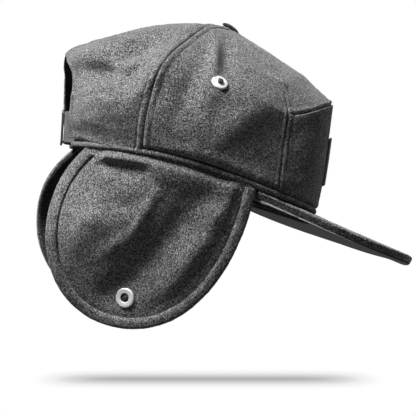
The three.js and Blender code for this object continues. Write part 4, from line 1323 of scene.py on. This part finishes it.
def visor_edge(share):
    away = np.abs(2 * share - 1)
    side = np.where(share < 0.5, -1, 1)
    corner = crown_base(np.array([float(VISOR["corner"])]), np.array([0.0]))[0]
    half = VISOR["half_width"]
    place = bezier((
        (VISOR["tip"], 0),
        (VISOR["tip"], half * VISOR["tip_fullness"]),
        (corner[0] + VISOR["side_reach"], half * VISOR["side_fullness"]),
        (corner[0] + VISOR["corner_reach"], corner[1]),
    ), away)
    x, y = place[..., 0], place[..., 1]
    along = (x - RADII[0][0]) / (VISOR["tip"] - RADII[0][0])
    level = lerp(VISOR["edge_height"], VISOR["tip_height"], along)
    level = level + VISOR["thick"] / 2 + (GAP + UNDERLAY["thick"]) / 2
    to_corner = smooth((away - VISOR["corner_from"]) / (1 - VISOR["corner_from"]))
    front = np.where(side < 0, VISOR["right_front"], VISOR["left_front"])
    front = front * (smooth(away / VISOR["front_to"]) - to_corner)
    lift = np.where(side < 0, VISOR["right_rise"], VISOR["left_rise"]) * to_corner + front
    return np.stack([x, side * y, level - VISOR["arch"] * (y / half) ** 2 + lift], axis=-1)


def visor_points(share, inset, depth):
    """Places on lines from the joint to the edge. inset is the distance from the edge, depth from the top."""
    joint, edge = visor_joint(share), visor_edge(share)
    reach = edge - joint
    long = np.linalg.norm(reach, axis=-1)
    part = 1 - inset / long[:, None]
    face = joint[:, None] + reach[:, None] * part[..., None]
    face[..., 2] -= depth
    return face


def undercut(share, inset, down):
    """How far the slanting edge draws points in. down is 0 at the top and 1 at the bottom."""
    step = OUTLINE_STEP
    ahead = visor_edge(np.minimum(share + step, 1)) - visor_edge(np.maximum(share - step, 0))
    inward = unit(np.stack([-ahead[:, 1], ahead[:, 0], 0 * ahead[:, 0]], axis=-1))
    slant = np.interp(np.abs(2 * share - 1), *zip(*VISOR_SLANTS))[:, None]
    amount = slant * down * smooth(1 - inset / UNDERCUT_REACH)
    return inward[:, None] * amount[..., None]


def visor_rows(share, near_edge, count):
    """Distances from the edge, from the joint up to near_edge."""
    long = np.linalg.norm(visor_edge(share) - visor_joint(share), axis=-1)
    return near_edge + (long - near_edge)[:, None] * np.linspace(1, 0, count)[None]


def visor():
    """The wool side. Its rows go over the rounded top corner and down the slanting edge."""
    share = np.linspace(0, 1, VISOR["columns"])
    top = visor_rows(share, VISOR["round"], VISOR["rows"])
    turn = np.linspace(0, math.pi / 2, VISOR["corner_rows"] + 1)[1:]
    down = np.linspace(0, 1, VISOR["corner_rows"] + 1)[1:]
    corner_in, corner_down = VISOR["round"] * (1 - np.sin(turn)), VISOR["round"] * (1 - np.cos(turn))
    edge_down = lerp(VISOR["round"], VISOR["thick"], down)
    flat, edge = np.zeros(top.shape), np.zeros((len(share), VISOR["corner_rows"]))
    inset = np.concatenate([top, edge + corner_in, edge], axis=1)
    depth = np.concatenate([flat, edge + corner_down, edge + edge_down], axis=1)
    leaning = np.concatenate([flat, edge, edge + down], axis=1)
    outer = visor_points(share, inset, depth) + undercut(share, inset, leaning)
    out = unit(np.cross(np.gradient(outer, axis=1), np.gradient(outer, axis=0)))
    out = np.where(out[..., 2:] < LOWEST_OUT, -out, out)
    grown = smooth((inset + depth) / RELIEF_GROWS["over"] + RELIEF_GROWS["start"])
    outer = outer + out * (wool_relief(outer) * grown)[..., None]
    under = lerp(top[:, :1], VISOR["under_inset"], np.linspace(0, 1, inset.shape[1])[None])
    inner = visor_points(share, under, np.full(under.shape, VISOR["thick"])) + undercut(share, under, 1)
    return shell("visor_wool", outer, inner, WOOL)


def visor_underlay():
    share = np.linspace(0, 1, UNDERLAY["columns"])
    inset = visor_rows(share, UNDERLAY["inset"], UNDERLAY["rows"])
    to_edge = inset - UNDERLAY["inset"]
    rolled = rolled_edge(to_edge, UNDERLAY["thick"] / 2)
    middle = VISOR["thick"] + GAP + UNDERLAY["thick"] / 2
    drawn_in = undercut(share, inset, 1)
    upper = visor_points(share, inset, middle - rolled) + drawn_in
    lower = visor_points(share, inset, middle + rolled) + drawn_in
    pull = UNDERLAY_PULL["height"] * noise(lower, UNDERLAY_PULL["size"], UNDERLAY_PULL["seed"])
    row = UNDERLAY_ROW["depth"] * hump(to_edge, UNDERLAY_ROW["place"], UNDERLAY_ROW["wide"])
    lower[..., 2] += row - pull * smooth(to_edge / UNDERLAY_PULL["from_edge"])
    piece = shell("visor_underside", lower, upper, GREY_COTTON)
    declare_sheet(lower)
    return piece


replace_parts(visor(), "visor")
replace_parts(visor_underlay(), "visor_underlay")

# Camera, lights and floor

PHOTO_SIDE = 416
PIXELS_PER_MM = 1.346
CAMERA = {"azimuth": -4.5, "elevation": -1.5, "roll": 14.75, "distance": 1800, "target": (18.0, 0, -14.6)}
SENSOR, CLIP_END = 36, 50


def camera_axes():
    """Right, up and back of the photograph's view."""
    a, e, roll = (math.radians(CAMERA[word]) for word in ("azimuth", "elevation", "roll"))
    back = Vector((math.sin(a) * math.cos(e), -math.cos(a) * math.cos(e), math.sin(e)))
    right = Vector((math.cos(a), math.sin(a), 0))
    up = Vector((-math.sin(a) * math.sin(e), math.cos(a) * math.sin(e), math.cos(e)))
    turned_right = math.cos(roll) * right + math.sin(roll) * up
    turned_up = math.cos(roll) * up - math.sin(roll) * right
    return turned_right, turned_up, back


RIGHT, UP, BACK = camera_axes()
TARGET = Vector(CAMERA["target"]) * MM


def add_camera():
    data = bpy.data.cameras.new("camera")
    data.sensor_width = SENSOR
    data.lens = SENSOR * PIXELS_PER_MM * CAMERA["distance"] / PHOTO_SIDE
    data.clip_end = CLIP_END
    camera = bpy.data.objects.new("camera", data)
    place = TARGET + BACK * CAMERA["distance"] * MM
    turn = Matrix((RIGHT, UP, BACK)).transposed().to_4x4()
    camera.matrix_world = Matrix.Translation(place) @ turn
    bpy.context.scene.collection.objects.link(camera)
    bpy.context.scene.camera = camera


# Each light's name, its place to the right, up and back of the hat in metres, its size and power, how wide it
# spreads in degrees, and how far to the right of the hat it aims.
LIGHTS = (
    ("key", -0.58, 1.25, 0.51, 0.67, 6.0, 52, -0.06),
    ("edge", 1.0, 0.35, -0.85, 0.5, 5, 180, 0.0),
    ("bounce", 0.25, -0.75, 0.25, 0.9, 0.6, 180, 0.0),
)


def area_light(name, right, up, back, size, power, spread, aim):
    """A soft round light placed in the photograph's directions."""
    data = bpy.data.lights.new(name, "AREA")
    data.shape = "DISK"
    data.size = size
    data.energy = power
    data.spread = math.radians(spread)
    lamp = bpy.data.objects.new(name, data)
    offset = RIGHT * right + UP * up + BACK * back
    lamp.location = TARGET + offset
    lamp.rotation_mode = "QUATERNION"
    lamp.rotation_quaternion = (RIGHT * aim - offset).to_track_quat("-Z", "Y")
    bpy.context.scene.collection.objects.link(lamp)


SOFT_LIGHT = 0.085


def add_world():
    """White behind the hat, and a softer light on it."""
    world = bpy.data.worlds.new("studio")
    world.use_nodes = True
    tree = world.node_tree
    tree.nodes.clear()
    white = node(tree, "ShaderNodeBackground", (1, 1, 1, 1), 1.0).outputs[0]
    soft = node(tree, "ShaderNodeBackground", (1, 1, 1, 1), SOFT_LIGHT).outputs[0]
    seen = node(tree, "ShaderNodeLightPath").outputs["Is Camera Ray"]
    both = node(tree, "ShaderNodeMixShader", seen, soft, white)
    node(tree, "ShaderNodeOutputWorld", both.outputs[0])
    bpy.context.scene.world = world


# The floor's place and size, with the half length and half depth of the shade and the powers of its outline.
FLOOR = {
    "drop": 127, "tilt": 4.5, "radius": 0.62, "sides": 96, "half_long": 132, "half_deep": 54,
    "long_power": 8.0, "deep_power": 2.0,
}
# The shade's brightness, from its middle outward.
FLOOR_SHADE = ((0.0, 0.46), (0.074, 0.64), (0.30, 0.86), (0.67, 0.97), (1.0, 1.0))


def floor_material(centre, deep):
    """White that glows on its upper face, with an oval shade round the centre, and clear from below."""
    made = bpy.data.materials.new("white_floor")
    made.use_nodes = True
    tree = made.node_tree
    tree.nodes.clear()
    face = node(tree, "ShaderNodeNewGeometry").outputs
    away = node(tree, "ShaderNodeVectorMath", face["Position"], centre, operation="SUBTRACT").outputs[0]
    parts = []
    for axis, half, power in (
        (RIGHT, FLOOR["half_long"], FLOOR["long_power"]),
        (deep, FLOOR["half_deep"], FLOOR["deep_power"]),
    ):
        dot = node(tree, "ShaderNodeVectorMath", away, axis / (half * MM), operation="DOT_PRODUCT")
        size = node(tree, "ShaderNodeMath", dot.outputs["Value"], operation="ABSOLUTE").outputs[0]
        parts.append(node(tree, "ShaderNodeMath", size, power, operation="POWER").outputs[0])
    total = node(tree, "ShaderNodeMath", *parts, operation="ADD").outputs[0]
    glow = node(tree, "ShaderNodeEmission", ramp(tree, total, FLOOR_SHADE), 1.0)
    clear = node(tree, "ShaderNodeBsdfTransparent")
    both = node(tree, "ShaderNodeMixShader", face["Backfacing"], glow.outputs[0], clear.outputs[0])
    node(tree, "ShaderNodeOutputMaterial", both.outputs[0])
    return made


def add_floor():
    """A white floor with the hat's soft shade on it, seen from above only."""
    tilt = math.radians(FLOOR["tilt"])
    normal = UP * math.cos(tilt) + BACK * math.sin(tilt)
    deep = RIGHT.cross(normal) * -1
    centre = TARGET - UP * FLOOR["drop"] * MM
    turns = [2 * math.pi * k / FLOOR["sides"] for k in range(FLOOR["sides"])]
    ring = [centre + (RIGHT * math.cos(turn) + deep * math.sin(turn)) * FLOOR["radius"] for turn in turns]
    mesh = bpy.data.meshes.new("floor")
    mesh.from_pydata(ring, [], [list(range(len(ring)))])
    if mesh.polygons[0].normal.dot(normal) < 0:
        mesh.flip_normals()
    mesh.materials.append(floor_material(centre, deep))
    floor = bpy.data.objects.new("floor", mesh)
    bpy.context.scene.collection.objects.link(floor)
    floor.visible_diffuse = False
    floor.visible_glossy = False
    floor.visible_shadow = False


add_camera()
add_world()
for row in LIGHTS:
    area_light(*row)
add_floor()
bpy.context.scene.view_settings.view_transform = "Standard"
